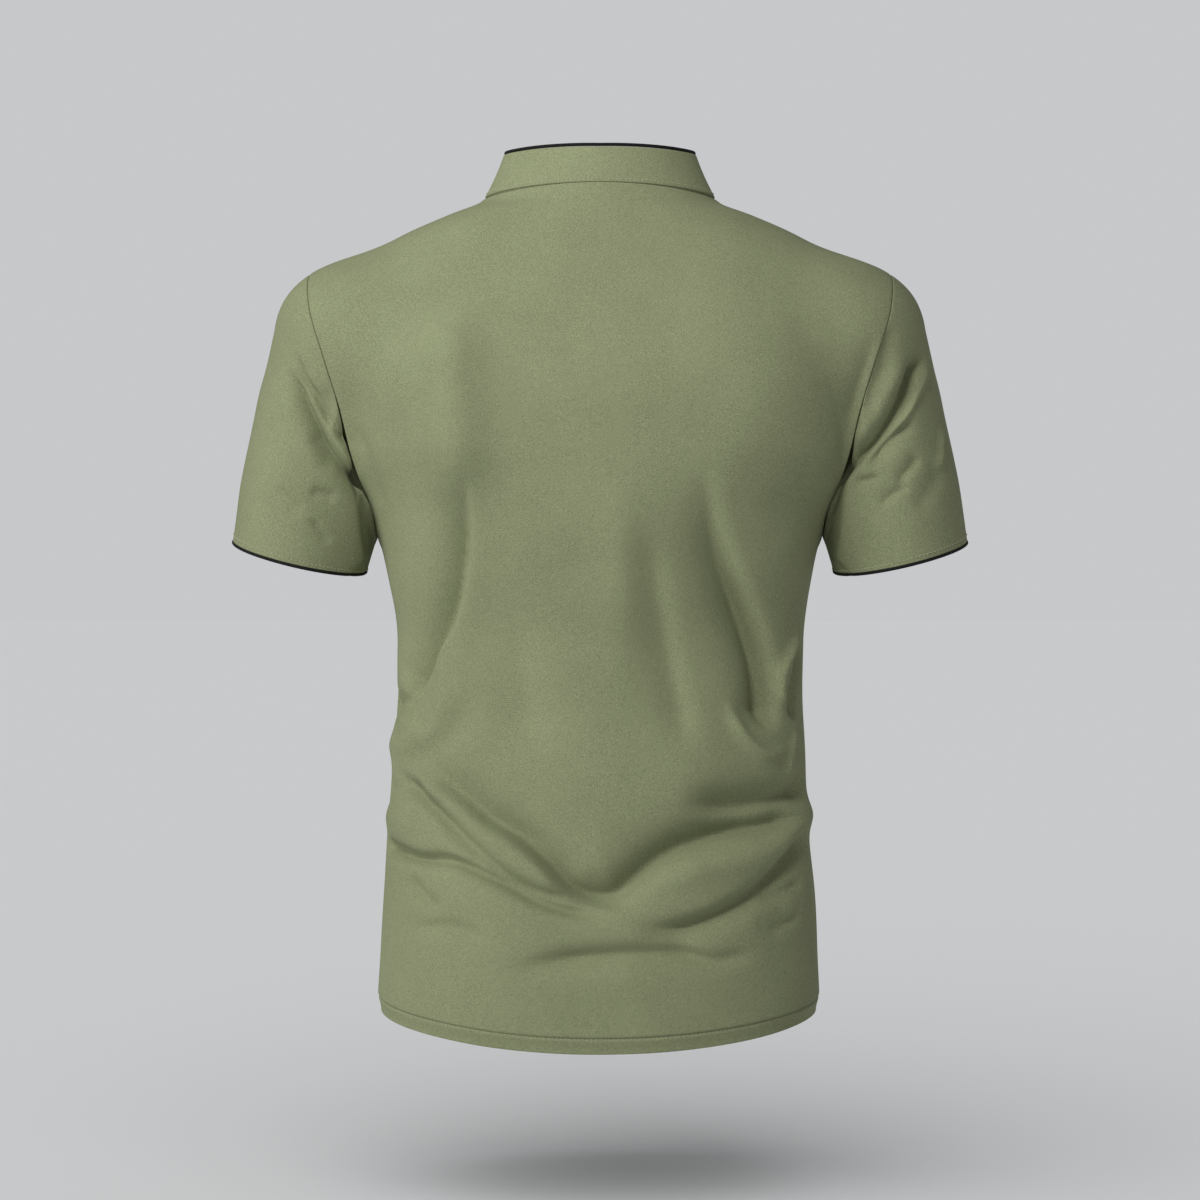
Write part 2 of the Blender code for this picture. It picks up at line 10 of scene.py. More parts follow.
import bpy
import numpy as np
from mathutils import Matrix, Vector


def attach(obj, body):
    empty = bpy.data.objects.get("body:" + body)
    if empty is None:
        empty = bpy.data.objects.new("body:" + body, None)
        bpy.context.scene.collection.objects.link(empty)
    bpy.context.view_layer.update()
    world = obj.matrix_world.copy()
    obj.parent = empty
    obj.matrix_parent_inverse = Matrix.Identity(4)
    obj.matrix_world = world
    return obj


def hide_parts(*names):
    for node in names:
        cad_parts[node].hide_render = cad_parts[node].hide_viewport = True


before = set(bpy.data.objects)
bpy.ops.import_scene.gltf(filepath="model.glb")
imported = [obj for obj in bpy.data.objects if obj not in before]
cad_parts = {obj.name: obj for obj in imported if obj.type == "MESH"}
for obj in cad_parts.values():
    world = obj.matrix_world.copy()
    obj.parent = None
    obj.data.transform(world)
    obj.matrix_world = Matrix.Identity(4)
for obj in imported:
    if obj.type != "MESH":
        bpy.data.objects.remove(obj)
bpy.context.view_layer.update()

MM = 0.001

# ---- cloth ----
CLOTH = 0.9  # thickness of the knit
WALL = 1.4  # wall of the solids that the cloth stands for
SEAM, ARMHOLE_SEAM = 0.3, 0.45  # gaps at the seams
CURL, CURL_DEPTH = 1.1, 0.9  # how far from a seam the cloth starts to turn in, and how deep it goes
CURL_LINES = (0.75, 0.4, 0.15)  # lines of points on the turned-in edge, as shares of CURL
CURL_MOST = 0.9  # of the gap to the next line of points, the most that they take up
ALLOWANCE = 4  # how deep a seam allowance stands inside
FOLD_RADIUS, FOLD_TURNS = 1.0, (150, 115, 80, 45, 20)  # of a hem's fold, and its points in degrees round it
HEM_DEPTH, SLEEVE_HEM_DEPTH = 18, 14  # how far up inside a hem is turned
HEM_LAYER = (1, 0.66, 0.33, 0.05)  # the rows of the turned-up layer, as shares of its depth
HEM_GROOVE = (11.3, 0.9, 1.5)  # above the edge: height, width and depth of the groove at the hem's stitches
HEM_TUCK, TUCK_REACH = 2.8, 1.3  # how far a hem's edge is drawn in, over how many times the groove's height
HEM_ROWS, HEM_SPLIT = 6, 4  # the rows of points beside the hem that are split, and in how many

# ---- the figure ----
# height, half width on the wearer's left and right, depth behind and in front, squareness (2 is an ellipse)
TORSO = (
    (-690, 174, 172, 124, 120, 2.4),
    (-645, 177, 175, 126, 121, 2.4),
    (-600, 175, 173, 124, 123, 2.4),
    (-550, 172, 171, 118, 125, 2.4),
    (-500, 169, 166, 109, 125, 2.4),
    (-450, 165, 164, 102, 123, 2.4),
    (-400, 162, 162, 99, 122, 2.4),
    (-355, 161, 162, 101, 124, 2.4),
    (-300, 169, 169, 110, 129, 2.4),
    (-256, 177, 176, 118, 132, 2.4),
    (-230, 186, 186, 121, 131, 2.5),
    (-200, 200, 200, 123, 128, 2.6),
    (-150, 211, 211, 122, 115, 2.6),
    (-110, 215, 215, 112, 99, 2.5),
    (-80, 212, 212, 99, 84, 2.35),
    (-60, 199, 199, 89, 75, 2.25),
    (-44, 181, 180, 80, 67, 2.15),
    (-30, 157, 157, 73, 61, 2.1),
    (-15, 122, 122, 66, 56, 2.1),
    (-5, 97, 97, 61, 54, 2.0),
    (5, 90, 90, 58, 52, 2.0),
    (40, 76, 76, 50, 48, 2.0),
)
SHOULDER = np.array((204, 0, -117))
SLEEVE_END = np.array((240.5, -8, -284.5))
# distance from the shoulder, half width seen from behind, half depth
ARM = (
    (0, 54, 66),
    (60, 58, 67),
    (120, 58, 64),
    (175, 54.8, 60),
)
BLEND = (42, 8)  # how softly the arm joins the torso, at the shoulder and under the arm
BLEND_HEIGHTS = (-110, -215)  # where those two hold
ARM_LEAVES_BODY = (-206, -248)  # the heights between which the body's cloth leaves the arm
TORSO_LEAVES_SLEEVE = (-151, -216)  # and the sleeve's cloth the torso
OUT_OF_REACH = 60  # how far away the left one is then held to be
FAR = 200  # further than the cloth is from the middle, in front or behind
INSIDE = 0.75  # the share of a point's distance from the middle at which its level line starts inside
OVERSHOOT = 1.8  # how many times as far as the expected crossing that line runs
HALVINGS = 24  # of the line on which the cloth is looked for
LAY_STEPS, LAY_STRIDE = 12, 25  # steps of a point on its way to the figure, and the longest of them
SLOPE_STEP = 0.5  # between the points that a slope is taken from

# ---- seams ----
HEM_SIDE, HEM_BACK, HEM_FRONT = -645, -664, -660  # heights of the body's hem
ARMHOLE_MIDDLE, ARMHOLE_REACH = -155, 160  # height of the armhole's middle, and more than its radius
SHOULDER_INSIDE = -140  # a height inside the shoulder
FIT_TURN = pi / 3  # the turn from the middle where a row starts to be fitted to its panel's edge
SEAM_REACH = 0.3  # the share of a sleeve's length over which it is fitted to the armhole
UNDERARM_REACH = 22  # the length of side seam that runs out to the underarm
EVENING, EVENING_STEPS = 12, 5  # rounds in which a panel's cells are evened out, and steps in each
# height, distance of the armhole seam from the middle of the shirt, behind and in front
ARMHOLE = (
    (-300, 178, 178),
    (-250, 180, 180),
    (-221, 191, 187),
    (-171, 203, 193),
    (-134, 214, 205),
    (-96, 226, 219),
    (-60, 231, 229),
    (-30, 232, 232),
)
NECK_SIDE, NECK_BACK, NECK_FRONT = 94, 5, -66  # the neck seam: half its width, heights behind and in front
YOKE_BACK, YOKE_FRONT = -112, -120  # heights in the middle of the rows that end at the shoulder's tip
CHEST_BACK, CHEST_FRONT = -262, -262  # and of those that end under the arm
HEM_RISE, HEM_FALL = 13.5, 7.5  # degrees by which a sleeve's hem is raised outside and let down behind
HEM_ACROSS, HEM_BETWEEN = 54.8, 60  # half a sleeve hem's width and depth

# ---- collar, placket, buttons, piping ----
# turn round the neck from the centre front in degrees, lean inwards at the top edge, height
COLLAR = (
    (0, 9, 32),
    (60, 11, 33),
    (90, 15.5, 34.5),
    (135, 12, 31),
    (180, 8, 29),
)
COLLAR_WALL, COLLAR_CLOTH = 2, 1.7  # of the solid, and of the two layers of knit
COLLAR_HOLLOW = 0.8  # how far the middle of its height is drawn in
COLLAR_CORNER, COLLAR_END = 13, 3.4  # radius of its front corners, and distance of its ends from the middle
COLLAR_UPRIGHT = 0.3  # the share of its half length, from the front, over which it stands square to its seam
COLLAR_CROWDING = 1.25  # power by which its points crowd together towards its ends
COLLAR_ALLOWANCE = ((1.6, 6), (1.5, 3), (0.9, 0.6))  # how far it goes inwards and down, from its cut edge up
COLLAR_PIPING, SLEEVE_PIPING, PIPING_STEP = 1.3, 1.4, 1.5  # radii, and length of a step along the collar's
TUBE_SIDES, TUBE_CONE = 12, 0.4  # points round a piping, and how far its end stands out, in radii
SLEEVE_SEWN = 2.6  # how far the stitches are from a sleeve's edge
PLACKET_WIDTH, PLACKET_LENGTH, PLACKET_TOP = 32, 152, NECK_FRONT - 1
PLACKET_WALL, PLACKET_CLOTH = 1.6, 1.5  # of the solid, and of the two layers of knit
PLACKET_COLUMNS, PLACKET_ROWS = 14, 60
PLACKET_SEWN, PLACKET_BOX = 2.5, 22  # how far the stitches are from its edges, and the height of its sewn box
PLACKET_SEWN_TOP, SEWN_POINTS = 2, 60  # how far from its top they start, and the points of a line of stitches
BUTTON_THICK, BUTTON_SIDES = 2.4, 48
BUTTON_DROPS = (20, 66, 112)  # heights of the buttons under the placket's top
# radius and height of the button's round, from its underside's middle out and over to its face's middle
BUTTON_PROFILE = (
    (4.6, 0), (5.3, 0.3), (5.7, 0.9), (5.8, 1.4), (5.65, 1.95),
    (5.2, 2.3), (4.7, 2.35), (4.3, 2.15), (3.9, 1.75), (3.2, 1.6),
)
BUTTON_FACE, BUTTON_HOLE, BUTTON_HOLE_OUT = 1.6, 0.75, 1.15  # height of the face, radius and place of a hole
BUTTON_HOLE_SIDES = 16
BUTTONHOLE_HALF, BUTTONHOLE_PITCH = 7, 0.55  # half its length, and the distance between its stitches
BUTTONHOLE_STITCH = (0.3, 1.5)  # from the slit's middle out
BUTTONHOLE_BAR = (0, 0.5, 1)  # the stitches across each end
# ---- thread: radii, and the points along and round a stitch ----
STITCH_THREAD, BUTTONHOLE_THREAD, BUTTON_THREAD = 0.36, 0.2, 0.32
STITCH_LENGTH, STITCH_GAP, STITCH_ARCH = 2.4, 0.9, 0.8  # its arch is how far it rises, in radii
STITCH_POINTS, STITCH_SIDES = 6, 6

# ---- how finely the cloth is made: columns of half a panel, and rows up its side, armhole and shoulder ----
BACK_HALF_COLUMNS, BACK_ROWS = 76, (146, 78, 34)
FRONT_HALF_COLUMNS, FRONT_ROWS = 56, (100, 54, 26)
SLEEVE_LINES, SLEEVE_ROWS = 210, 96
COLLAR_LINES, COLLAR_ROWS = 120, 12

# ---- creases, traced one by one ----
SAG = (
    (158, -441), (140, -449), (126, -457), (106, -472), (87, -487), (63, -500), (47, -512), (33, -525),
    (22, -536), (7, -542), (-12, -542), (-25, -532), (-40, -520), (-60, -509), (-83, -502), (-107, -497),
    (-134, -495), (-164, -489),
)
# what it is, side, depth (a ridge is negative), how round its bottom is, its width on the left and on the
# right as one goes along it, the shares of its length over which it starts and ends, and its line as (x, z)
CREASES = (
    # the waist, on the wearer's left half of the back
    ("the sag", "back", 14, 0.8, 17, 8, 0.25, 0.06, SAG),
    ("broad sag", "back", 8, 5, 38, 12, 0.35, 0.15, SAG),
    ("roll under the sag", "back", -5, 4, 12, 9, 0.15, 0.4,
     ((150, -452), (124, -470), (102, -482), (74, -500), (52, -517), (32, -536), (12, -549), (-10, -553))),
    ("long narrow crease", "back", 9, 0.5, 8, 6, 0.12, 0.35,
     ((163, -454), (139, -473), (117, -493), (93, -514), (70, -531), (47, -542), (17, -548), (-13, -552),
     (-47, -554))),
    ("short crease beside it", "back", 3.4, 1, 7, 6, 0.4, 0.3,
     ((126, -495), (112, -506), (96, -519), (87, -527))),
    ("deep crease from the side", "back", 11, 0.4, 6, 7, 0.02, 0.2,
     ((168, -513), (142, -520), (117, -520), (90, -529), (70, -538), (50, -548), (27, -555), (7, -559),
     (-13, -564))),
    ("side crease", "back", 5, 1.5, 8, 7, 0.3, 0.3,
     ((153, -535), (144, -541), (136, -550), (126, -556), (119, -560))),
    ("low side crease", "back", 5, 2, 9, 8, 0.3, 0.4,
     ((151, -571), (137, -573), (119, -571), (107, -572), (91, -577), (79, -581))),
    ("small pucker", "back", 1.2, 1.5, 6, 6, 0.4, 0.4, ((116, -552), (109, -557), (96, -563))),
    ("lowest trough", "back", 9, 1.2, 9, 14, 0.35, 0.35,
     ((77, -605), (53, -598), (23, -592), (-7, -589), (-33, -588), (-53, -589), (-73, -591), (-100, -594))),
    # the waist, on the wearer's right half of the back
    ("roll under the right arm", "back", -5, 5, 14, 13, 0.3, 0.02,
     ((-33, -533), (-78, -526), (-111, -521), (-134, -513), (-155, -499), (-166, -489))),
    ("edge of the roll", "back", 12, 0.8, 8, 16, 0.3, 0.1,
     ((-22, -566), (-46, -570), (-66, -568), (-83, -563), (-100, -556), (-120, -545), (-138, -530),
     (-152, -515), (-164, -501))),
    ("small pleats at the right side", "back", 4, 1, 5, 6, 0.3, 0.2,
     ((-122, -551), (-140, -548), (-160, -538))),
    ("small pleat under them", "back", 3.5, 1, 5, 6, 0.3, 0.3, ((-128, -575), (-144, -571), (-158, -564))),
    ("trough right of the lowest", "back", 5, 1.2, 7, 10, 0.3, 0.4,
     ((-45, -580), (-66, -588), (-85, -594), (-104, -593), (-124, -588))),
    ("blunt trough", "back", 13, 2, 17, 8, 0.4, 0.05,
     ((-60, -474), (-86, -477), (-110, -477), (-134, -475), (-162, -472))),
    ("low right dent", "back", 2, 3, 10, 10, 0.3, 0.3, ((-118, -573), (-134, -566), (-150, -558))),
    # notches in the left side
    ("upper side notch", "back", 6, 1.5, 9, 10, 0.3, 0.02, ((146, -399), (155, -401), (163, -404))),
    ("middle side notch", "back", 3, 1.5, 9, 10, 0.6, 0.02,
     ((128, -462), (146, -466), (158, -469), (166, -471))),
    ("side bulge", "back", -4, 3, 16, 16, 0.4, 0.02, ((140, -436), (156, -436), (164, -436))),
    ("lower side bulge", "back", -3, 3, 14, 14, 0.4, 0.02, ((140, -494), (160, -493), (167, -492))),
    # drops from the shoulder blades
    ("right drop", "back", 21, 2, 10, 27, 0.6, 0.1,
     ((-77, -205), (-83, -250), (-93, -289), (-108, -323), (-120, -350), (-128, -374), (-130, -391),
     (-130, -408), (-128, -426))),
    ("rim of the right pocket", "back", -6, 1.2, 6, 7, 0.4, 0.3,
     ((-97, -392), (-103, -410), (-110, -424), (-119, -434), (-130, -441), (-142, -439), (-149, -433))),
    ("crest at the right side", "back", -6, 1, 6, 6, 0.3, 0.2,
     ((-159, -341), (-149, -362), (-142, -379), (-141, -396), (-145, -408))),
    ("hollow at the right side", "back", 7, 2, 8, 8, 0.2, 0.2,
     ((-161, -352), (-156, -376), (-152, -400), (-152, -418))),
    ("right side tuck", "back", -3, 1, 5, 5, 0.2, 0.3,
     ((-155, -420), (-151, -438), (-149, -451), (-149, -468))),
    ("middle drop", "back", 5, 4, 10, 20, 0.4, 0.2,
     ((-30, -250), (-38, -290), (-45, -330), (-52, -363), (-60, -400), (-70, -442))),
    ("left drop", "back", 16, 0.8, 5, 28, 0.4, 0.08,
     ((100, -220), (105, -275), (108, -297), (113, -320), (120, -340), (132, -361), (142, -382),
     (152, -399))),
    ("ridge at the left blade", "back", -14, 10, 26, 30, 0.3, 0.4,
     ((112, -85), (112, -130), (110, -170), (108, -215), (108, -270))),
    ("swell beside the spine", "back", -5, 6, 30, 26, 0.4, 0.4,
     ((-17, -200), (-18, -260), (-17, -330), (-15, -420))),
    ("dip left of the spine", "back", 6, 6, 26, 36, 0.45, 0.3,
     ((72, -290), (66, -340), (60, -400), (54, -455))),
    ("left pocket", "back", 5, 2, 10, 8, 0.5, 0.05, ((124, -352), (131, -372), (139, -392), (149, -408))),
    ("rim of the left pocket", "back", -3.5, 3, 12, 8, 0.3, 0.2,
     ((121, -385), (123, -403), (128, -418), (139, -427), (151, -421), (160, -408))),
    ("dent under the left pocket", "back", 2.5, 4, 12, 12, 0.3, 0.2,
     ((101, -386), (104, -405), (112, -421), (130, -436), (155, -443))),
    ("broad left drop", "back", 2, 7, 18, 16, 0.4, 0.4,
     ((86, -245), (82, -308), (88, -333), (91, -370), (96, -408))),
    # beside the armholes
    ("pull beside the left armhole", "back", 2.5, 4, 9, 11, 0.3, 0.3,
     ((193, -181), (182, -204), (174, -227), (167, -251))),
    ("tuck beside the right armhole", "back", 3.2, 0.8, 4, 12, 0.5, 0.3,
     ((-214, -105), (-208, -134), (-201, -156), (-196, -176), (-191, -196))),
    # the left sleeve
    ("left drag", "sleeve back", 12, 0.4, 5, 11, 0.3, 0.02,
     ((246, -138), (237, -155), (228, -172), (220, -185), (213, -197), (204, -210), (195, -221),
     (184, -232))),
    ("upper left drag", "sleeve back", 6.5, 0.4, 4, 8, 0.35, 0.1,
     ((241, -127), (234, -137), (230, -149), (220, -164), (213, -175), (206, -185), (199, -194),
     (194, -199))),
    ("outer left drag", "sleeve back", 3, 2, 8, 8, 0.3, 0.3, ((225, -188), (216, -206), (206, -222))),
    ("left cross crease", "sleeve back", 2.5, 0.8, 5, 6, 0.3, 0.3, ((228, -237), (216, -238), (204, -242))),
    ("left slanting crease", "sleeve back", 2.5, 0.8, 5, 8, 0.3, 0.3,
     ((256, -231), (243, -242), (232, -257))),
    ("left hem crease", "sleeve back", 2, 0.8, 4, 6, 0.3, 0.3, ((226, -256), (218, -267), (210, -278))),
    ("hollow under the left arm", "sleeve back", 3, 0.8, 4, 5, 0.2, 0.2,
     ((206, -172), (201, -183), (197, -199), (192, -215), (188, -232), (182, -252))),
    ("fullness inside the left sleeve", "sleeve back", -3, 3, 6, 18, 0.3, 0.05,
     ((194, -192), (195, -225), (193, -262), (190, -292))),
    # the right sleeve
    ("fullness inside the right sleeve", "sleeve back", -3, 3, 18, 6, 0.3, 0.05,
     ((-194, -192), (-195, -225), (-193, -262), (-190, -292))),
    ("right drag", "sleeve back", 12, 0.4, 4.5, 10, 0.15, 0.03,
     ((-258, -126), (-247, -141), (-241, -156), (-236, -168), (-223, -187), (-213, -199), (-202, -210),
     (-194, -220), (-186, -229))),
    ("roll above it", "sleeve back", -4, 4, 10, 10, 0.3, 0.2,
     ((-238, -126), (-230, -147), (-220, -165), (-211, -186), (-199, -207))),
    ("roll below it", "sleeve back", -3.5, 0.5, 4, 5, 0.2, 0.3,
     ((-260, -133), (-255, -145), (-249, -157), (-242, -171), (-234, -184), (-227, -193), (-217, -204))),
    ("trough below that", "sleeve back", 6, 0.8, 10, 5, 0.3, 0.3,
     ((-247, -178), (-232, -190), (-221, -202), (-214, -211), (-206, -219))),
    ("soft drag by the seam", "sleeve back", 3, 3, 8, 8, 0.3, 0.3,
     ((-230, -104), (-224, -120), (-218, -145), (-209, -166))),
    ("right cross crease", "sleeve back", 3, 0.6, 4, 5, 0.3, 0.3, ((-199, -229), (-209, -227), (-219, -226))),
    ("right slanting crease", "sleeve back", 3.5, 0.8, 6, 8, 0.3, 0.3,
     ((-251, -207), (-242, -218), (-230, -231))),
    ("right lower crease", "sleeve back", 3, 0.8, 5, 7, 0.3, 0.3,
     ((-243, -232), (-231, -237), (-223, -243), (-217, -250))),
    ("right outer ridge", "sleeve back", -3, 0.8, 5, 6, 0.3, 0.3,
     ((-271, -182), (-269, -198), (-268, -211), (-262, -222))),
    ("right outer trough", "sleeve back", 2.2, 3, 10, 10, 0.3, 0.3,
     ((-271, -215), (-258, -235), (-244, -255))),
    ("hollow under the right arm", "sleeve back", 3, 0.8, 5, 4, 0.2, 0.2,
     ((-204, -164), (-199, -191), (-195, -207), (-190, -227), (-185, -243), (-180, -261))),
    # the front, which the photo hides: the same kinds of creases
    ("front sag, right arm", "front", 7, 1.5, 9, 22, 0.15, 0.3,
     ((-158, -452), (-128, -470), (-96, -488), (-62, -506), (-28, -518), (4, -524))),
    ("front sag, left arm", "front", 6.5, 1.2, 9, 20, 0.2, 0.15,
     ((-10, -524), (22, -519), (52, -507), (88, -492), (122, -478), (156, -468))),
    ("front roll", "front", -3.5, 6, 14, 14, 0.3, 0.3,
     ((-120, -498), (-70, -520), (-10, -538), (50, -528), (110, -502))),
    ("front low crease", "front", 4, 1.2, 8, 12, 0.3, 0.3,
     ((-150, -528), (-110, -545), (-60, -558), (-10, -562), (40, -556))),
    ("front left drop", "front", 5.5, 2, 12, 22, 0.4, 0.2,
     ((118, -255), (112, -300), (104, -345), (100, -390), (108, -425))),
    ("front right drop", "front", 6, 2, 22, 12, 0.4, 0.2,
     ((-120, -250), (-112, -300), (-103, -350), (-104, -400), (-116, -440))),
    ("front chest pull, left", "front", 3, 4, 14, 14, 0.3, 0.3,
     ((186, -190), (160, -228), (140, -262), (128, -300))),
    ("front chest pull, right", "front", 3, 4, 14, 14, 0.3, 0.3,
     ((-188, -186), (-162, -224), (-140, -264), (-130, -306))),
    ("front left drag", "sleeve front", 5, 1.2, 10, 7, 0.3, 0.1,
     ((244, -138), (228, -162), (214, -188), (200, -212), (188, -230))),
    ("front left lower drag", "sleeve front", 3, 1.5, 8, 7, 0.3, 0.3,
     ((252, -186), (236, -206), (218, -226))),
    ("front right drag", "sleeve front", 5.5, 1, 7, 10, 0.25, 0.1,
     ((-250, -134), (-234, -160), (-218, -186), (-203, -210), (-189, -229))),
    ("front right lower drag", "sleeve front", 3, 1.5, 7, 8, 0.3, 0.3,
     ((-254, -192), (-238, -212), (-220, -232))),
    ("hollow under the left arm, front", "sleeve front", 2, 1, 10, 4, 0.2, 0.2,
     ((196, -170), (193, -196), (189, -222), (182, -250))),
    ("hollow under the right arm, front", "sleeve front", 2, 1, 4, 10, 0.2, 0.2,
     ((-196, -168), (-193, -194), (-189, -220), (-182, -250))),
)
CREASE_STEP = 4  # between points along a crease
CREASE_REACH = 2.2  # how many times its width from its line a crease still moves the cloth
RUMPLE = 1.1  # the cloth's small unevenness all over
RUMPLE_LENGTHS, RUMPLE_WAVES, RUMPLE_SEED = (45, 120), 9, 11

# ---- finishes: real sizes are in metres, and the noises' scales are spots a metre ----
WALE, COURSE = 0.0019, 0.0015  # a stitch's width and height, drawn twice as coarse as real so that it shows
COURSE_SLANT = 1.6  # how far a stitch's two legs lean, in radians of its course
FLECKS, CLOUDS = 1300.0, 16.0  # of the dyed yarn
FLECK_SHARE, CLOUD_SHARE, STITCH_SHARE = 0.85, 0.15, 0.05  # of the cloth's unevenness of colour
SHADE_ENDS = (0.36, 0.64)  # the noise's values that take the darkest and the lightest colour
FLECK_HEIGHT, KNIT_BUMP, KNIT_HEIGHT = 1.2, 0.35, 0.0002
TWILL, TWILL_BUMP, TWILL_HEIGHT = 0.0008, 0.3, 0.0001
THREAD_FLUFF, BUTTON_CLOUDS = 900.0, 260.0

# ---- light and camera, in metres ----
CAMERA_AWAY, CAMERA_HEIGHT = 2.2, -0.321  # level with the middle of the shirt, straight behind it
LENS, SENSOR = 82.5, 36
BACKGROUND, FLOOR_COLOUR = "#C7C8CA", "#F6F7F8"
# each light: degrees round from straight behind the shirt towards the wearer's left, degrees up, strength, and
# its width in degrees of sky
KEY = (60, 16, 1.5, 30)
FLOOR_LIGHT = (30, 54, 1.45, 80)
# the round lamp over the shirt: degrees round and up, distance from the middle of the back, watts, width
OVER = (22, 36, 1.5, 13.6, 0.5)
MIDDLE_BACK = Vector((0, 0.1, -0.2))
ROOM_SHARE = 0.44  # of the surroundings' brightness that reaches the shirt and floor, while the camera sees them at full brightness
FLOOR_HEIGHT, FLOOR_REACH = -0.785, 60


# ---------------------------------------------------------------- smooth steps and lines


def cubic(t, gap, start, end, start_slope, end_slope):
    """A cubic from start (t = 0) to end (t = 1) over a gap, with its slopes there: the ends weigh
    2t^3 - 3t^2 + 1 and 3t^2 - 2t^3, the slopes t^3 - 2t^2 + t and t^3 - t^2."""
    bend = (2 * t**3 - 3 * t**2 + 1) * start + (3 * t**2 - 2 * t**3) * end
    return bend + gap * ((t**3 - 2 * t**2 + t) * start_slope + (t**3 - t**2) * end_slope)


def smooth_rows(table, at):
    """A table's columns at any value of its first column: a cubic through the rows, level at a peak."""
    table = np.array(table, float)
    keys, values = table[:, 0], table[:, 1:]
    at = np.clip(at, keys[0], keys[-1])
    rise = np.diff(values, axis=0) / np.diff(keys)[:, None]
    slope = np.vstack((rise[:1], (rise[1:] + rise[:-1]) / 2, rise[-1:]))
    slope[1:-1][rise[1:] * rise[:-1] <= 0] = 0
    i = np.clip(np.searchsorted(keys, at) - 1, 0, len(keys) - 2)
    gap = (keys[i + 1] - keys[i])[..., None]
    t = (at[..., None] - keys[i][..., None]) / gap
    return np.moveaxis(cubic(t, gap, values[i], values[i + 1], slope[i], slope[i + 1]), -1, 0)


def ramp(value, low, high):
    """0 below low, 1 above high, and 3t^2 - 2t^3 between; low may be the larger."""
    t = np.clip((value - low) / (high - low), 0, 1)
    return t * t * (3 - 2 * t)


def reach_along(points):
    """Distance along a line at each of its points."""
    return np.append(0, np.cumsum(np.linalg.norm(np.diff(points, axis=0), axis=-1)))


def smooth_line(points, step):
    """Points a step apart on a cubic through the given ones, which runs at each as its neighbours lie."""
    points = np.array(points, float)
    reach = reach_along(points)
    slope = np.gradient(points, reach, axis=0)
    at = np.linspace(0, reach[-1], max(2, int(reach[-1] / step)))
    i = np.clip(np.searchsorted(reach, at) - 1, 0, len(reach) - 2)
    gap = (reach[i + 1] - reach[i])[:, None]
    t = (at - reach[i])[:, None] / gap
    return cubic(t, gap, points[i], points[i + 1], slope[i], slope[i + 1])


def unit(v):
    """Vectors divided by their lengths."""
    return v / np.linalg.norm(v, axis=-1, keepdims=True)


def run_along(line, closed):
    """The direction of a line at each of its points: from the point before to the one after."""
    if closed:
        return unit(np.roll(line, -1, 0) - np.roll(line, 1, 0))
    return unit(np.gradient(line, axis=0))


# ---------------------------------------------------------------- the figure


def torso_distance(p):
    """Distance from the torso: (|x / wide|^n + |y / deep|^n)^(1/n) - 1 at the height, times the smaller of
    wide and deep."""
    left, right, back, front, square = smooth_rows(TORSO, p[..., 2])
    wide = np.where(p[..., 0] > 0, left, right)
    deep = np.where(p[..., 1] > 0, back, front)
    reach = (np.abs(p[..., 0] / wide) ** square + np.abs(p[..., 1] / deep) ** square) ** (1 / square)
    return (reach - 1) * np.minimum(wide, deep)


def arm_distance(p):
    """Distance from the nearer arm: an oval bar with a round top, along a straight axis."""
    q = np.stack((np.abs(p[..., 0]), p[..., 1], p[..., 2]), -1) - SHOULDER
    axis = SLEEVE_END - SHOULDER
    length = np.linalg.norm(axis)
    down = np.maximum(q @ (axis / length), 0)
    off = q - down[..., None] * axis / length
    wide, deep = smooth_rows(ARM, down)
    return (np.hypot(np.hypot(off[..., 0], off[..., 2]) / wide, off[..., 1] / deep) - 1) * wide


def figure(p, piece):
    """Distance from torso and arm together: the lesser of the two, mixed softly where they are about as near.

    The body's cloth leaves the arm below the armhole, and the sleeve's cloth leaves the torso there.
    """
    torso, arm = torso_distance(p), arm_distance(p)
    if piece == "body":
        arm = arm + OUT_OF_REACH * ramp(p[..., 2], *ARM_LEAVES_BODY)
    if piece == "sleeve":
        torso = torso + OUT_OF_REACH * ramp(p[..., 2], *TORSO_LEAVES_SLEEVE)
    blend = BLEND[1] + (BLEND[0] - BLEND[1]) * ramp(p[..., 2], BLEND_HEIGHTS[1], BLEND_HEIGHTS[0])
    mix = np.clip(0.5 + 0.5 * (torso - arm) / blend, 0, 1)
    return torso + (arm - torso) * mix - blend * mix * (1 - mix)


def slope(p, piece):
    """The direction in which the distance from the figure grows, and how fast: the distance a step on,
    less the distance a step back, along each axis."""
    steps = SLOPE_STEP * np.eye(3)
    return np.stack([figure(p + step, piece) - figure(p - step, piece) for step in steps], -1)


def outward(p, piece):
    """The figure's outward direction at points: its slope, made one long."""
    return unit(slope(p, piece))


def lay_on(p, piece):
    """Moves points along the slope by their distance from the figure, again and again, until they lie on it."""
    for _ in range(LAY_STEPS):
        grow = slope(p, piece)
        move = figure(p, piece)[..., None] * grow / np.sum(grow * grow, -1, keepdims=True)
        p = p - np.clip(move, -LAY_STRIDE, LAY_STRIDE)
    return p


def cross(start, end, piece):
    """Where lines from a start inside the figure to an end outside leave it, by halving."""
    low, high = np.zeros(start.shape[:-1] + (1,)), np.ones(start.shape[:-1] + (1,))
    for _ in range(HALVINGS):
        middle = (low + high) / 2
        inside = figure(start + middle * (end - start), piece)[..., None] < 0
        low, high = np.where(inside, middle, low), np.where(inside, high, middle)
    return start + low * (end - start)


# ---------------------------------------------------------------- creases


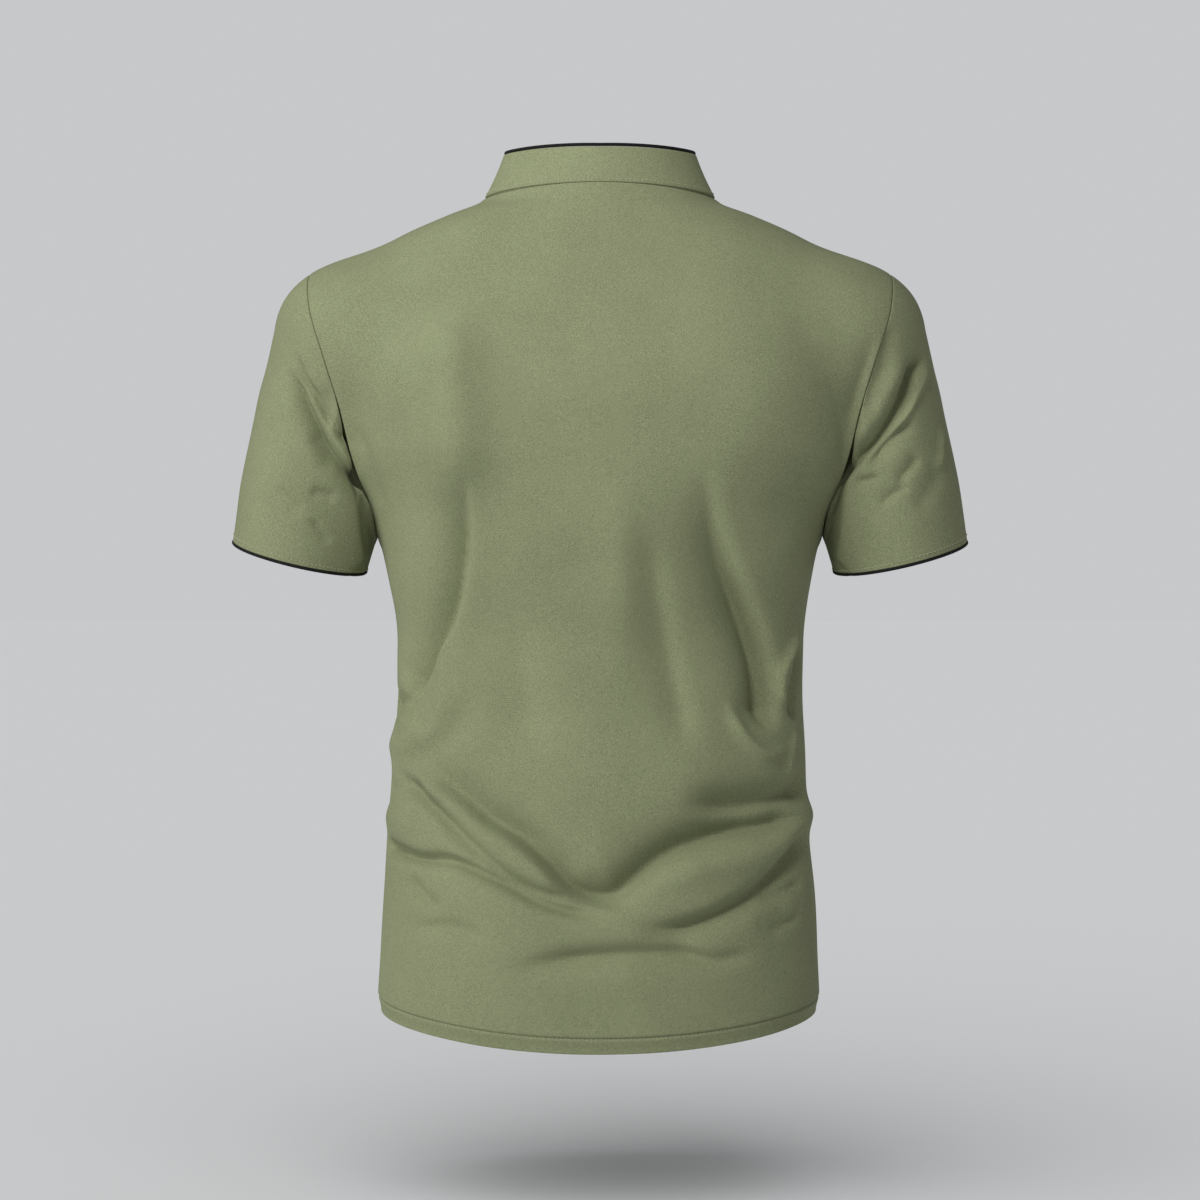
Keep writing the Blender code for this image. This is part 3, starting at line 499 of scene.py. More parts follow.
def crease_line(where, piece, line):
    """A crease's line, laid on the figure from its (x, z) points."""
    line = smooth_line(line, CREASE_STEP)
    start = np.stack((line[:, 0], 0 * line[:, 0], line[:, 1]), -1)
    return cross(start, start + (0, FAR if "back" in where else -FAR, 0), piece)


def creased(p, normal, piece):
    """How far the creases move points out along their normals.

    Across its line a crease falls as exp(-(s + s^2)), where s is the distance from the line, rounded at its
    bottom and measured in the crease's width on that side. Its two ends fade.
    """
    move = np.zeros(p.shape[:-1])
    for _, where, depth, rounding, left, right, start_share, end_share, line in CREASES:
        if ("sleeve" in where) != (piece == "sleeve"):
            continue
        points = crease_line(where, piece, line)
        reach = CREASE_REACH * max(left, right)
        near = np.all((p > points.min(0) - reach) & (p < points.max(0) + reach), axis=-1)
        if not near.any():
            continue
        start, run = points[:-1], np.diff(points, axis=0)
        gap = p[near][:, None, :] - start
        t = np.clip(np.sum(gap * run, -1) / np.sum(run * run, -1), 0, 1)
        off = gap - t[..., None] * run
        away = np.linalg.norm(off, axis=-1)
        nearest = np.argmin(away, -1)
        row = np.arange(len(nearest))
        share = (nearest + t[row, nearest]) / len(run)
        turn = np.cross(normal[near], run[nearest])
        width = np.where(np.sum(off[row, nearest] * turn, -1) > 0, left, right)
        s = (np.hypot(away[row, nearest], rounding) - rounding) / width
        fade = ramp(share, 0, start_share) * ramp(1 - share, 0, end_share)
        move[near] -= depth * fade * np.exp(-(s + s * s))
    return move


def rumpled(p):
    """Small unevenness: the mean of a few plane waves, each with its own direction and length."""
    dice = np.random.default_rng(RUMPLE_SEED)
    total = np.zeros(p.shape[:-1])
    for _ in range(RUMPLE_WAVES):
        direction = unit(dice.normal(size=3))
        length = dice.uniform(*RUMPLE_LENGTHS)
        total += np.sin(2 * pi * (p @ direction) / length + dice.uniform(0, 2 * pi))
    return total * RUMPLE / RUMPLE_WAVES


def worn(p, piece, out=0):
    """Points on the figure with creases and unevenness put in, and their normals."""
    normal = outward(p, piece)
    return p + normal * (creased(p, normal, piece) + rumpled(p) + out)[..., None], normal


# ---------------------------------------------------------------- where the pieces lie


def armhole(turn, side, behind, shift):
    """The armhole seam round the arm from the shoulder tip (0) to under the arm (pi): where the figure leaves
    the curved sheet on which the table's distances lie."""
    low, high = np.zeros(turn.shape), np.full(turn.shape, float(ARMHOLE_REACH))
    column = 0 if behind else 1
    face = 1 if behind else -1

    def on_sheet(reach):
        """Points on the sheet at a reach from the armhole's middle."""
        height = ARMHOLE_MIDDLE + reach * np.cos(turn)
        out = smooth_rows(ARMHOLE, height)[column] + shift
        return np.stack((side * out, face * reach * np.sin(turn), height), -1)

    for _ in range(HALVINGS):
        middle = (low + high) / 2
        inside = figure(on_sheet(middle), "all") < 0
        low, high = np.where(inside, middle, low), np.where(inside, high, middle)
    return on_sheet(low)


def shoulder_seam(out, side, face):
    """Points along the shoulder's ridge at distances out from the middle: straight up from inside."""
    start = np.stack((side * out, face * SEAM / 2 + 0 * out, SHOULDER_INSIDE + 0 * out), -1)
    return cross(start, start + (0, 0, FAR), "all")


def panel_edge(side, face, rows):
    """One edge of the back or front: up the side seam, round the armhole, along the shoulder to the neck."""
    side_rows, armhole_rows, shoulder_rows = rows
    round_arm = armhole(np.linspace(pi, 0, armhole_rows + 1), side, face > 0, -ARMHOLE_SEAM / 2)
    round_arm[[0, -1], 1] = face * SEAM / 2
    height = np.linspace(HEM_SIDE, round_arm[0, 2], side_rows + 1)[:-1]
    wide = smooth_rows(TORSO, height)[0 if side > 0 else 1]
    under = round_arm[0]
    wide_under = smooth_rows(TORSO, under[2])[0 if side > 0 else 1]
    wide += (abs(under[0]) - wide_under) * ramp(height, under[2] - UNDERARM_REACH, under[2])
    seam = np.stack((side * wide, face * SEAM / 2 + 0 * wide, height), -1)
    out = np.linspace(abs(round_arm[-1, 0]), NECK_SIDE, shoulder_rows + 1)[1:]
    return np.concatenate((seam, round_arm, shoulder_seam(out, side, face)))


def panel_middle(face, rows):
    """The heights at which the rows of the back or front cross its middle."""
    side_rows, armhole_rows, shoulder_rows = rows
    hem, chest, yoke, neck = HEM_BACK, CHEST_BACK, YOKE_BACK, NECK_BACK
    if face < 0:
        hem, chest, yoke, neck = HEM_FRONT, CHEST_FRONT, YOKE_FRONT, NECK_FRONT
    up_side = np.linspace(hem, chest, side_rows + 1)[:-1]
    up_armhole = np.linspace(chest, yoke, armhole_rows + 1)
    return np.concatenate((up_side, up_armhole, np.linspace(yoke, neck, shoulder_rows + 1)[1:]))


def row_across(turn, edge, middle, face, slant=0):
    """A row of the back or front: level lines from inside the figure, over a quarter ellipse, to its cloth.

    The row starts at the middle (turn 0), runs level there, and ends at the panel's edge (turn pi / 2).
    It meets the edge square to the middle line, or aslant, by a share of up to 1.
    """
    height = middle + (edge[..., 2] - middle) * np.sin(turn) ** 2
    deep = smooth_rows(TORSO, middle)[2 if face > 0 else 3] * face
    out = (np.sin(turn) * (1 - slant) + turn / (pi / 2) * slant) * edge[..., 0]
    over = np.stack((out, np.cos(turn) * deep + np.sin(turn) * edge[..., 1], height), -1)
    inside = np.stack((INSIDE * out, 0 * height, height), -1)
    return cross(inside, inside + OVERSHOOT * (over - inside), "body")


def edge_slant(edge, rows):
    """How far each row meets its edge aslant: fully at the shoulder's tip, not at all under the arm and at
    the neck, and by 3t^2 - 2t^3 between."""
    under, tip = edge[rows[0]], edge[rows[0] + rows[1]]
    up_armhole = (edge[:, 2] - under[2]) / (tip[2] - under[2])
    down_shoulder = (np.abs(edge[:, 0]) - NECK_SIDE) / (abs(tip[0]) - NECK_SIDE)
    return ramp(np.where(np.arange(len(edge)) > rows[0] + rows[1], down_shoulder, up_armhole), 0, 1)


def panel(face, half_columns, rows):
    """The back or front as a grid of points: rows from the hem up, each from the wearer's left to the right."""
    middle = panel_middle(face, rows)[:, None]
    turn = np.linspace(0, pi / 2, half_columns + 1)
    halves = []
    for side in (1, -1):
        edge = panel_edge(side, face, rows)
        slant = edge_slant(edge, rows)[:, None]
        edge = edge[:, None]
        laid = row_across(turn, edge, middle, face, slant)
        laid += (edge - laid[:, -1:]) * ramp(turn, FIT_TURN, pi / 2)[:, None]
        halves.append(laid)
    return evened(np.concatenate((halves[0][:, ::-1], halves[1][:, 1:]), 1), "body")


def evened(p, piece):
    """Evens out a grid's cells: again and again each inner point goes to the mean of its four neighbours,
    and then straight out or in to its mean distance from the figure."""
    away = figure(p, piece)
    for _ in range(EVENING):
        for _ in range(EVENING_STEPS):
            for values in (p, away):
                across, up = values[1:-1, 2:] + values[1:-1, :-2], values[2:, 1:-1] + values[:-2, 1:-1]
                values[1:-1, 1:-1] = (across + up) / 4
        inner = p[1:-1, 1:-1]
        grow = slope(inner, piece)
        off = figure(inner, piece) - away[1:-1, 1:-1]
        inner -= off[..., None] * grow / np.sum(grow * grow, -1, keepdims=True)
    return p


def neck_seam(turn):
    """The seam between body and collar, the rows across that end at the side of the neck: turn runs from the
    centre front (0) to the centre back (pi)."""
    side_neck = np.array((NECK_SIDE, 0, 0))
    front_turn = np.minimum(turn, pi / 2)
    back_turn = np.minimum(pi - turn, pi / 2)
    front_half = row_across(front_turn, side_neck, NECK_FRONT + 0 * turn, -1)
    back_half = row_across(back_turn, side_neck, NECK_BACK + 0 * turn, 1)
    return np.where((turn < pi / 2)[:, None], front_half, back_half)


def hem_ring(turn, side):
    """The sleeve's hem: an oval ring, its outer end raised and its back let down."""
    rise, fall = np.radians(HEM_RISE), np.radians(HEM_FALL)
    across = np.array((np.cos(rise), 0, np.sin(rise)))
    deep = np.array((0, np.cos(fall), -np.sin(fall)))
    ring = HEM_ACROSS * np.cos(turn)[:, None] * across + HEM_BETWEEN * np.sin(turn)[:, None] * deep
    return (SLEEVE_END + ring) * (side, 1, 1)


def sleeve(side):
    """A sleeve: a tube from the armhole seam to its hem, laid on the arm and fitted to the seam."""
    turn = np.linspace(0, 2 * pi, SLEEVE_LINES, endpoint=False)
    behind = turn <= pi
    seam = np.where(
        behind[:, None],
        armhole(np.minimum(turn, pi), side, True, ARMHOLE_SEAM / 2),
        armhole(np.minimum(2 * pi - turn, pi), side, False, ARMHOLE_SEAM / 2),
    )
    share = np.linspace(0, 1, SLEEVE_ROWS + 1)[:, None, None]
    laid = lay_on((1 - share) * seam + share * hem_ring(turn, side), "sleeve")
    return laid + (seam - laid[:1]) * ramp(share, SEAM_REACH, 0)


def collar_band(rows, rise_from):
    """The band collar: it stands square to the neck seam, leans inwards, and its front corners are round."""
    end = COLLAR_END / NECK_SIDE
    turn = end + (pi - end) * np.linspace(0, 1, COLLAR_LINES + 1) ** COLLAR_CROWDING
    base = neck_seam(turn)
    lean, height = smooth_rows(COLLAR, np.degrees(turn))
    run = unit(np.gradient(base, axis=0))
    inwards = unit(-base * (1, 1, 0))
    up = inwards * (lean / height)[:, None] + (0, 0, 1)
    up -= ramp(turn, 0, pi * COLLAR_UPRIGHT)[:, None] * np.sum(up * run, -1, keepdims=True) * run
    up = unit(up)
    from_end = np.minimum(np.linalg.norm(base - base[0], axis=-1), COLLAR_CORNER)
    drop = COLLAR_CORNER - np.sqrt(COLLAR_CORNER**2 - (COLLAR_CORNER - from_end) ** 2)
    share = np.linspace(0, 1, rows + 1)[:, None, None]
    rise = rise_from + share * (np.hypot(height, lean) - drop - rise_from)[:, None]
    half = base + up * rise + inwards * COLLAR_HOLLOW * np.sin(pi * share)
    return np.concatenate((half, half[:, -2::-1] * (-1, 1, 1)), 1)


def on_front(x, z, out):
    """Points of the worn front at (x, z), moved out by some millimetres, and their normals."""
    inside = np.stack((x, 0 * x, z), -1)
    return worn(cross(inside, inside - (0, FAR, 0), "body"), "body", out)


# ---------------------------------------------------------------- edges and hems


def grid_normals(points):
    """Normals of a grid of points: its direction along the rows, crossed with that along the columns."""
    return unit(np.cross(np.gradient(points, axis=1), np.gradient(points, axis=0)))


def curl_last(points, normal, allowance=True):
    """Turns the last column in at a seam: new columns near the edge sink along -normal, on a quarter circle.

    The seam allowance goes straight on inwards from the edge.
    """
    edge, inner = points[:, -1:], points[:, -2:-1]
    run = unit(np.gradient(edge, axis=0))
    inwards = inner - edge
    inwards -= np.sum(inwards * run, -1, keepdims=True) * run
    gap = np.linalg.norm(inwards, axis=-1, keepdims=True)
    share = np.array((*CURL_LINES, 0))[:, None]
    lines = edge + np.minimum(CURL * share / gap, CURL_MOST * share) * inwards
    edge_normal = np.repeat(normal[:, -1:], len(share), 1)
    lines -= edge_normal * CURL_DEPTH * (1 - np.sqrt(1 - (1 - share) ** 2))
    if allowance:
        deep = lines[:, -1:] - edge_normal[:, :1] * ALLOWANCE
        lines = np.concatenate((lines, (lines[:, -1:] + deep) / 2, deep), 1)
        edge_normal = np.repeat(normal[:, -1:], len(share) + 2, 1)
    return np.concatenate((points[:, :-1], lines), 1), np.concatenate((normal[:, :-1], edge_normal), 1)


def curled(points, normal, edges, allowance=True):
    """Turns in the named edges of a grid: left and right columns, top and bottom rows."""
    for edge in edges:
        if edge in ("top", "bottom"):
            points, normal = np.swapaxes(points, 0, 1), np.swapaxes(normal, 0, 1)
        if edge in ("left", "bottom"):
            points, normal = points[:, ::-1], normal[:, ::-1]
        points, normal = curl_last(points, normal, allowance)
        if edge in ("left", "bottom"):
            points, normal = points[:, ::-1], normal[:, ::-1]
        if edge in ("top", "bottom"):
            points, normal = np.swapaxes(points, 0, 1), np.swapaxes(normal, 0, 1)
    return points, normal


def hem_up(points, normal, depth):
    """Folds the first row up inside: half a circle round the fold, then a second layer as deep as the hem."""
    edge, n = points[:1], normal[:1]
    down = unit(edge - points[HEM_SPLIT:HEM_SPLIT + 1])
    turns = np.radians(FOLD_TURNS)[:, None, None]
    fold = edge - FOLD_RADIUS * n * (1 - np.cos(turns)) + FOLD_RADIUS * down * np.sin(turns)
    ups = depth * np.array(HEM_LAYER)[:, None, None]
    layer = edge - 2 * FOLD_RADIUS * n - down * ups
    rows = np.concatenate((layer, fold))
    return np.concatenate((rows, points)), np.concatenate((np.repeat(n, len(rows), 0), normal))


def finer_hem(grid):
    """Splits the first rows of a grid, each into equal steps straight from row to row."""
    at = np.append(np.arange(0, HEM_ROWS, 1 / HEM_SPLIT), np.arange(HEM_ROWS, len(grid) - 1))
    row = at.astype(int)
    share = (at - row)[:, None, None]
    return np.concatenate((grid[row] * (1 - share) + grid[row + 1] * share, grid[-1:]))


def height_above(points):
    """Distance of a grid's points from its first row, along its columns."""
    return np.cumsum(np.linalg.norm(np.diff(points, axis=0, prepend=points[:1]), axis=-1), axis=0)


def grooved(points, normal):
    """Sinks a line above the hem, where the thread pulls the cloth in, as exp(-s^2), where s is the distance
    from the line in the groove's width. The hem's edge is drawn in too, by 3t^2 - 2t^3."""
    height, width, depth = HEM_GROOVE
    up = height_above(points)
    tucked = HEM_TUCK * ramp(up, TUCK_REACH * height, 0)
    return points - normal * (depth * np.exp(-((up - height) / width) ** 2) + tucked)[..., None]


def beside_edge(edge, inner, face, gap, closed=False):
    """A line beside a sheet's edge: a gap out from it, and moved square to the sheet by face, to the middle of
    its wall. The line inner, further in, says which way the sheet goes."""
    run = run_along(edge, closed)
    away = edge - inner
    away = unit(away - np.sum(away * run, -1, keepdims=True) * run)
    return edge + away * gap + face * np.cross(run, away)


# ---------------------------------------------------------------- making meshes


def mesh_object(name, vertices, faces, finish, uv=None):
    """An object at the origin from vertices in millimetres; uv is a pair for each corner of each face."""
    mesh = bpy.data.meshes.new(name)
    faces = faces.tolist() if isinstance(faces, np.ndarray) else faces
    mesh.from_pydata((vertices.reshape(-1, 3) * MM).tolist(), [], faces)
    if uv is not None:
        layer = mesh.uv_layers.new(name="cloth_metres")
        layer.data.foreach_set("uv", (uv * MM).astype(np.float32).ravel())
    mesh.shade_smooth()
    mesh.materials.append(finish)
    made = bpy.data.objects.new(name, mesh)
    bpy.context.scene.collection.objects.link(made)
    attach(made, "root")
    return made


ACROSS_FIRST, UP_FIRST = (0, 1, 2, 3), (0, 3, 2, 1)


def quads(grid, order=ACROSS_FIRST):
    """The corners of each cell of a grid, one after the other round it: point numbers, four to a row, or UV
    pairs. The cell then faces across x up, or the other way with UP_FIRST."""
    corners = grid[:-1, :-1], grid[:-1, 1:], grid[1:, 1:], grid[1:, :-1]
    cells = np.stack([corners[number] for number in order], 2)
    return cells.reshape(-1, 4 if grid.ndim == 2 else 2)


def ring_numbers(shape):
    """The numbers of the points of rings, each ring's first again at its end."""
    numbers = np.arange(np.prod(shape)).reshape(shape)
    return np.concatenate((numbers, numbers[..., :1]), -1)


def grid_object(name, points, finish, closed=False):
    """A sheet from a grid of points. Its UV is the distance along its rows and columns, in metres of cloth."""
    index, wide = ring_numbers(points.shape[:2]), points
    if closed:
        wide = np.concatenate((points, points[:, :1]), 1)
    else:
        index = index[:, :-1]
    across = np.cumsum(np.linalg.norm(np.diff(wide, axis=1, prepend=wide[:, :1]), axis=-1), axis=1)
    across -= across[:, across.shape[1] // 2][:, None]
    flat = np.stack((across, height_above(wide)), -1)
    return mesh_object(name, points, quads(index, UP_FIRST), finish, quads(flat, UP_FIRST))


def shell(name, points, finish, node, thickness=CLOTH, closed=False):
    """A thin shell of cloth from a grid of points, with its wall inside them, which stands for a solid."""
    made = grid_object(name, points, finish, closed)
    wall = made.modifiers.new("wall", "SOLIDIFY")
    wall.thickness = thickness * MM
    wall.offset = -1
    wall.use_quality_normals = True
    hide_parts(node)
    return made


def tube_object(name, line, radius, finish, closed=False):
    """A round tube along a line: at each point a circle square to it, closed at its ends by a small cone."""
    run = run_along(line, closed)
    side_way = unit(np.cross(run, line - line.mean(0)))
    up_way = np.cross(run, side_way)
    turn = np.linspace(0, 2 * pi, TUBE_SIDES, endpoint=False)[None, :, None]
    rings = line[:, None] + radius * (np.cos(turn) * side_way[:, None] + np.sin(turn) * up_way[:, None])
    if not closed:
        ends = line[[0, -1]] + run[[0, -1]] * ((-1,), (1,)) * radius * TUBE_CONE
        ends = np.repeat(ends[:, None, None], TUBE_SIDES, 2)
        rings = np.concatenate((ends[0], rings, ends[1]))
    index = ring_numbers(rings.shape[:2])
    if closed:
        index = np.concatenate((index, index[:1]))
    along = np.append(reach_along(line), 0) if closed else np.pad(reach_along(line), 1, mode="edge")
    round_it = np.linspace(0, 2 * pi * radius, TUBE_SIDES + 1)
    flat = np.stack(np.meshgrid(round_it, along), -1)
    return mesh_object(name, rings, quads(index), finish, quads(flat))


def threads(name, start, end, normal, finish, thick):
    """Short lengths of thread: each is a round tube from start to end, which rises between them as half a sine
    wave does, out of the cloth that hides its ends."""
    share = np.linspace(0, 1, STITCH_POINTS)[None, :, None]
    middle = start[:, None] + share * (end - start)[:, None]
    n = unit(normal)[:, None]
    side_way = np.cross(unit(end - start)[:, None], n)
    middle = middle + n * ((1 + STITCH_ARCH) * np.sin(pi * share) - 1) * thick
    turn = np.linspace(0, 2 * pi, STITCH_SIDES, endpoint=False)[None, None, :, None]
    rings = middle[:, :, None] + thick * (np.cos(turn) * side_way[:, :, None] + np.sin(turn) * n[:, :, None])
    faces = np.concatenate([quads(index) for index in ring_numbers(rings.shape[:3])])
    made = mesh_object(name, rings, faces, finish)
    return made


def stitches(name, line, normal, finish):
    """A row of stitches along a line on the cloth, one after each gap."""
    reach = reach_along(line)
    start = np.arange(STITCH_GAP, reach[-1] - STITCH_LENGTH, STITCH_LENGTH + STITCH_GAP)
    ways = [(line, start), (line, start + STITCH_LENGTH), (normal, start + STITCH_LENGTH / 2)]
    laid = [np.stack([np.interp(at, reach, column) for column in values.T], -1) for values, at in ways]
    return threads(name, *laid, finish, STITCH_THREAD)


# ---------------------------------------------------------------- finishes


def linear(code):
    """An sRGB hex colour as linear red, green, blue and 1."""
    parts = np.array([int(code[i:i + 2], 16) for i in (1, 3, 5)]) / 255
    return (*np.where(parts <= 0.04045, parts / 12.92, ((parts + 0.055) / 1.055) ** 2.4), 1)


def add(tree, kind, links=(), **settings):
    """A node with its settings (name=value) and its links (socket, where it comes from or its value)."""
    node = tree.nodes.new("ShaderNode" + kind)
    for name, value in settings.items():
        setattr(node, name, value)
    for socket, source in dict(links).items():
        if isinstance(source, bpy.types.NodeSocket):
            tree.links.new(source, node.inputs[socket])
        else:
            node.inputs[socket].default_value = source
    return node


def start_finish(name, settings):
    """A new material, its nodes and its shader, with what is the same all over (socket: value)."""
    made = bpy.data.materials.new(name)
    made.use_nodes = True
    shader = made.node_tree.nodes["Principled BSDF"]
    for socket, value in settings.items():
        shader.inputs[socket].default_value = value
    return made, made.node_tree, shader


def fine_knit(name, dark, light):
    """Fine cotton jersey, knitted and dyed in the piece: matt, with the faintest sheen where it turns away.

    A stitch is sin(across) sin(up + the lean of its legs). The real one is 0.9 mm wide, and this one is coarser
    so that it shows. Flecks of unevenly dyed yarn and soft clouds give the colour its variation.
    """
    made, tree, shader = start_finish(name, {"Roughness": 0.86, "Specular IOR Level": 0.2, "Sheen Weight": 0.04,
                                             "Sheen Roughness": 0.4, "Sheen Tint": linear("#C9CCAE")})
    uv = add(tree, "UVMap", uv_map="cloth_metres").outputs[0]
    place = add(tree, "SeparateXYZ", {0: uv}).outputs
    wale = add(tree, "Math", {0: place[0], 1: 2 * pi / WALE}, operation="MULTIPLY").outputs[0]
    wale_wave = add(tree, "Math", {0: wale}, operation="SINE").outputs[0]
    leg = add(tree, "Math", {0: wale_wave}, operation="ABSOLUTE").outputs[0]
    slant = add(tree, "Math", {0: leg, 1: COURSE_SLANT}, operation="MULTIPLY").outputs[0]
    course = add(tree, "Math", {0: place[1], 1: 2 * pi / COURSE, 2: slant}, operation="MULTIPLY_ADD").outputs[0]
    course_wave = add(tree, "Math", {0: course}, operation="SINE").outputs[0]
    stitch = add(tree, "Math", {0: wale_wave, 1: course_wave}, operation="MULTIPLY").outputs[0]
    spot = add(tree, "TexCoord").outputs["Object"]
    fleck = add(tree, "TexNoise", {"Vector": spot, "Scale": FLECKS, "Detail": 2.0, "Roughness": 0.6}).outputs[0]
    cloud = add(tree, "TexNoise", {"Vector": spot, "Scale": CLOUDS, "Detail": 3.0, "Roughness": 0.5}).outputs[0]
    clouds = add(tree, "Math", {0: cloud, 1: CLOUD_SHARE}, operation="MULTIPLY").outputs[0]
    mixed = add(tree, "Math", {0: fleck, 1: FLECK_SHARE, 2: clouds}, operation="MULTIPLY_ADD").outputs[0]
    shade = add(tree, "Math", {0: stitch, 1: STITCH_SHARE, 2: mixed}, operation="MULTIPLY_ADD").outputs[0]
    spread = add(tree, "MapRange", {0: shade, 1: SHADE_ENDS[0], 2: SHADE_ENDS[1]}).outputs[0]
    colour = add(tree, "Mix", {"Factor": spread, 6: linear(dark), 7: linear(light)}, data_type="RGBA")
    tree.links.new(colour.outputs[2], shader.inputs["Base Color"])
    height = add(tree, "Math", {0: fleck, 1: FLECK_HEIGHT, 2: stitch}, operation="MULTIPLY_ADD").outputs[0]
    bump = add(tree, "Bump", {"Height": height, "Strength": KNIT_BUMP, "Distance": KNIT_HEIGHT}).outputs[0]
    tree.links.new(bump, shader.inputs["Normal"])
    return made


def woven_piping():
    """Bias-cut black cotton tape sewn over a cord: twill lines run slantwise round it, 0.8 mm apart, as
    sin(across + along)."""
    made, tree, shader = start_finish("black_woven_piping", {"Roughness": 0.8, "Specular IOR Level": 0.25})
    uv = add(tree, "UVMap", uv_map="cloth_metres").outputs[0]
    place = add(tree, "SeparateXYZ", {0: uv}).outputs
    slanted = add(tree, "Math", {0: place[0], 1: place[1]}, operation="ADD").outputs[0]
    lines = add(tree, "Math", {0: slanted, 1: 2 * pi / TWILL}, operation="MULTIPLY").outputs[0]
    twill = add(tree, "Math", {0: lines}, operation="SINE").outputs[0]
    spread = add(tree, "MapRange", {0: twill, 1: -1.0, 2: 1.0}).outputs[0]
    colour = add(tree, "Mix", {"Factor": spread, 6: linear("#070707"), 7: linear("#10100F")}, data_type="RGBA")
    tree.links.new(colour.outputs[2], shader.inputs["Base Color"])
    bump = add(tree, "Bump", {"Height": twill, "Strength": TWILL_BUMP, "Distance": TWILL_HEIGHT}).outputs[0]
    tree.links.new(bump, shader.inputs["Normal"])
    return made


def spun_thread():
    """Spun polyester sewing thread, a shade lighter than the cloth, slightly shiny, so that stitches glint.
    Its fluff is a fine noise between two colours."""
    made, tree, shader = start_finish("spun_thread", {"Roughness": 0.6})
    spot = add(tree, "TexCoord").outputs["Object"]
    fluff = add(tree, "TexNoise", {"Vector": spot, "Scale": THREAD_FLUFF}).outputs[0]
    colour = add(tree, "Mix", {"Factor": fluff, 6: linear("#8A8E70"), 7: linear("#A6AA8B")}, data_type="RGBA")
    tree.links.new(colour.outputs[2], shader.inputs["Base Color"])
    return made


def moulded_button():
    """Polyester button, cast and tumbled: near black, satin, with faint clouds in it, a noise between two
    colours."""
    made, tree, shader = start_finish("polyester_button", {"Roughness": 0.34})
    spot = add(tree, "TexCoord").outputs["Object"]
    cloud = add(tree, "TexNoise", {"Vector": spot, "Scale": BUTTON_CLOUDS, "Detail": 2.0}).outputs[0]
    colour = add(tree, "Mix", {"Factor": cloud, 6: linear("#262622"), 7: linear("#3A3A33")}, data_type="RGBA")
    tree.links.new(colour.outputs[2], shader.inputs["Base Color"])
    return made


def studio_floor():
    """Matt painted studio floor, pale grey, as bright under the lights as the surroundings."""
    return start_finish("studio_floor", {"Base Color": linear(FLOOR_COLOUR), "Roughness": 1.0,
                                         "Specular IOR Level": 0.0})[0]


# ---------------------------------------------------------------- light and camera


def light_from(name, kind, round_it, up, power, away=0):
    """A studio light that shines from (sin a cos b, cos a cos b, sin b), some metres away from the middle of
    the back, where a and b are its degrees round and up."""
    light = bpy.data.lights.new(name, kind)
    light.energy = power
    made = bpy.data.objects.new(name, light)
    a, b = radians(round_it), radians(up)
    towards = Vector((sin(a) * cos(b), cos(a) * cos(b), sin(b)))
    made.rotation_euler = towards.to_track_quat("Z", "Y").to_euler()
    made.location = MIDDLE_BACK + away * towards
    bpy.context.scene.collection.objects.link(made)
    return made


def sun(name, round_it, up, strength, size):
    """A far, soft light, as wide as some degrees of sky."""
    made = light_from(name, "SUN", round_it, up, strength)
    made.data.angle = radians(size)
    return made


def lamp(name, round_it, up, away, watts, width):
    """A near, round soft lamp, which lights what is near it more."""
    made = light_from(name, "AREA", round_it, up, watts, away)
    made.data.shape = "DISK"
    made.data.size = width
    return made


def studio():
    """Floor, surroundings, lights and camera. The shirt's lights don't reach the floor, and the floor's own
    light doesn't reach the shirt, which only throws its shadow there."""
    around = bpy.data.worlds.new("studio")
    around.use_nodes = True
    tree = around.node_tree
    seen = tree.nodes["Background"]
    seen.inputs["Color"].default_value = linear(BACKGROUND)
    room = add(tree, "Background", {"Color": linear(BACKGROUND), "Strength": ROOM_SHARE})
    which = add(tree, "MixShader", {0: add(tree, "LightPath").outputs["Is Camera Ray"], 1: room.outputs[0],
                                    2: seen.outputs[0]})
    tree.links.new(which.outputs[0], tree.nodes["World Output"].inputs[0])
    bpy.context.scene.world = around
    bpy.context.scene.view_settings.view_transform = "Standard"
    shirt_lights = sun("key", *KEY), lamp("over", *OVER)
    floor_light = sun("floor_light", *FLOOR_LIGHT)
    corners = np.array([(x, y, FLOOR_HEIGHT) for x, y in ((-1, -1), (1, -1), (1, 1), (-1, 1))])
    corners[:, :2] *= FLOOR_REACH
    mesh = bpy.data.meshes.new("floor")
    mesh.from_pydata(corners.tolist(), [], [(0, 1, 2, 3)])
    mesh.materials.append(studio_floor())
    floor = bpy.data.objects.new("floor", mesh)
    bpy.context.scene.collection.objects.link(floor)
    linking = ((floor_light,), "lit_from_above", "INCLUDE"), (shirt_lights, "not_lit", "EXCLUDE")
    for lights, name, state in linking:
        listed = bpy.data.collections.new(name)
        listed.objects.link(floor)
        listed.collection_objects[0].light_linking.link_state = state
        for light in lights:
            light.light_linking.receiver_collection = listed
    camera = bpy.data.objects.new("camera", bpy.data.cameras.new("camera"))
    camera.location = (0, CAMERA_AWAY, CAMERA_HEIGHT)
    camera.rotation_euler = (pi / 2, 0, pi)
    camera.data.lens = LENS
    camera.data.sensor_width = SENSOR
    bpy.context.scene.collection.objects.link(camera)
    bpy.context.scene.camera = camera


# ---------------------------------------------------------------- the pieces


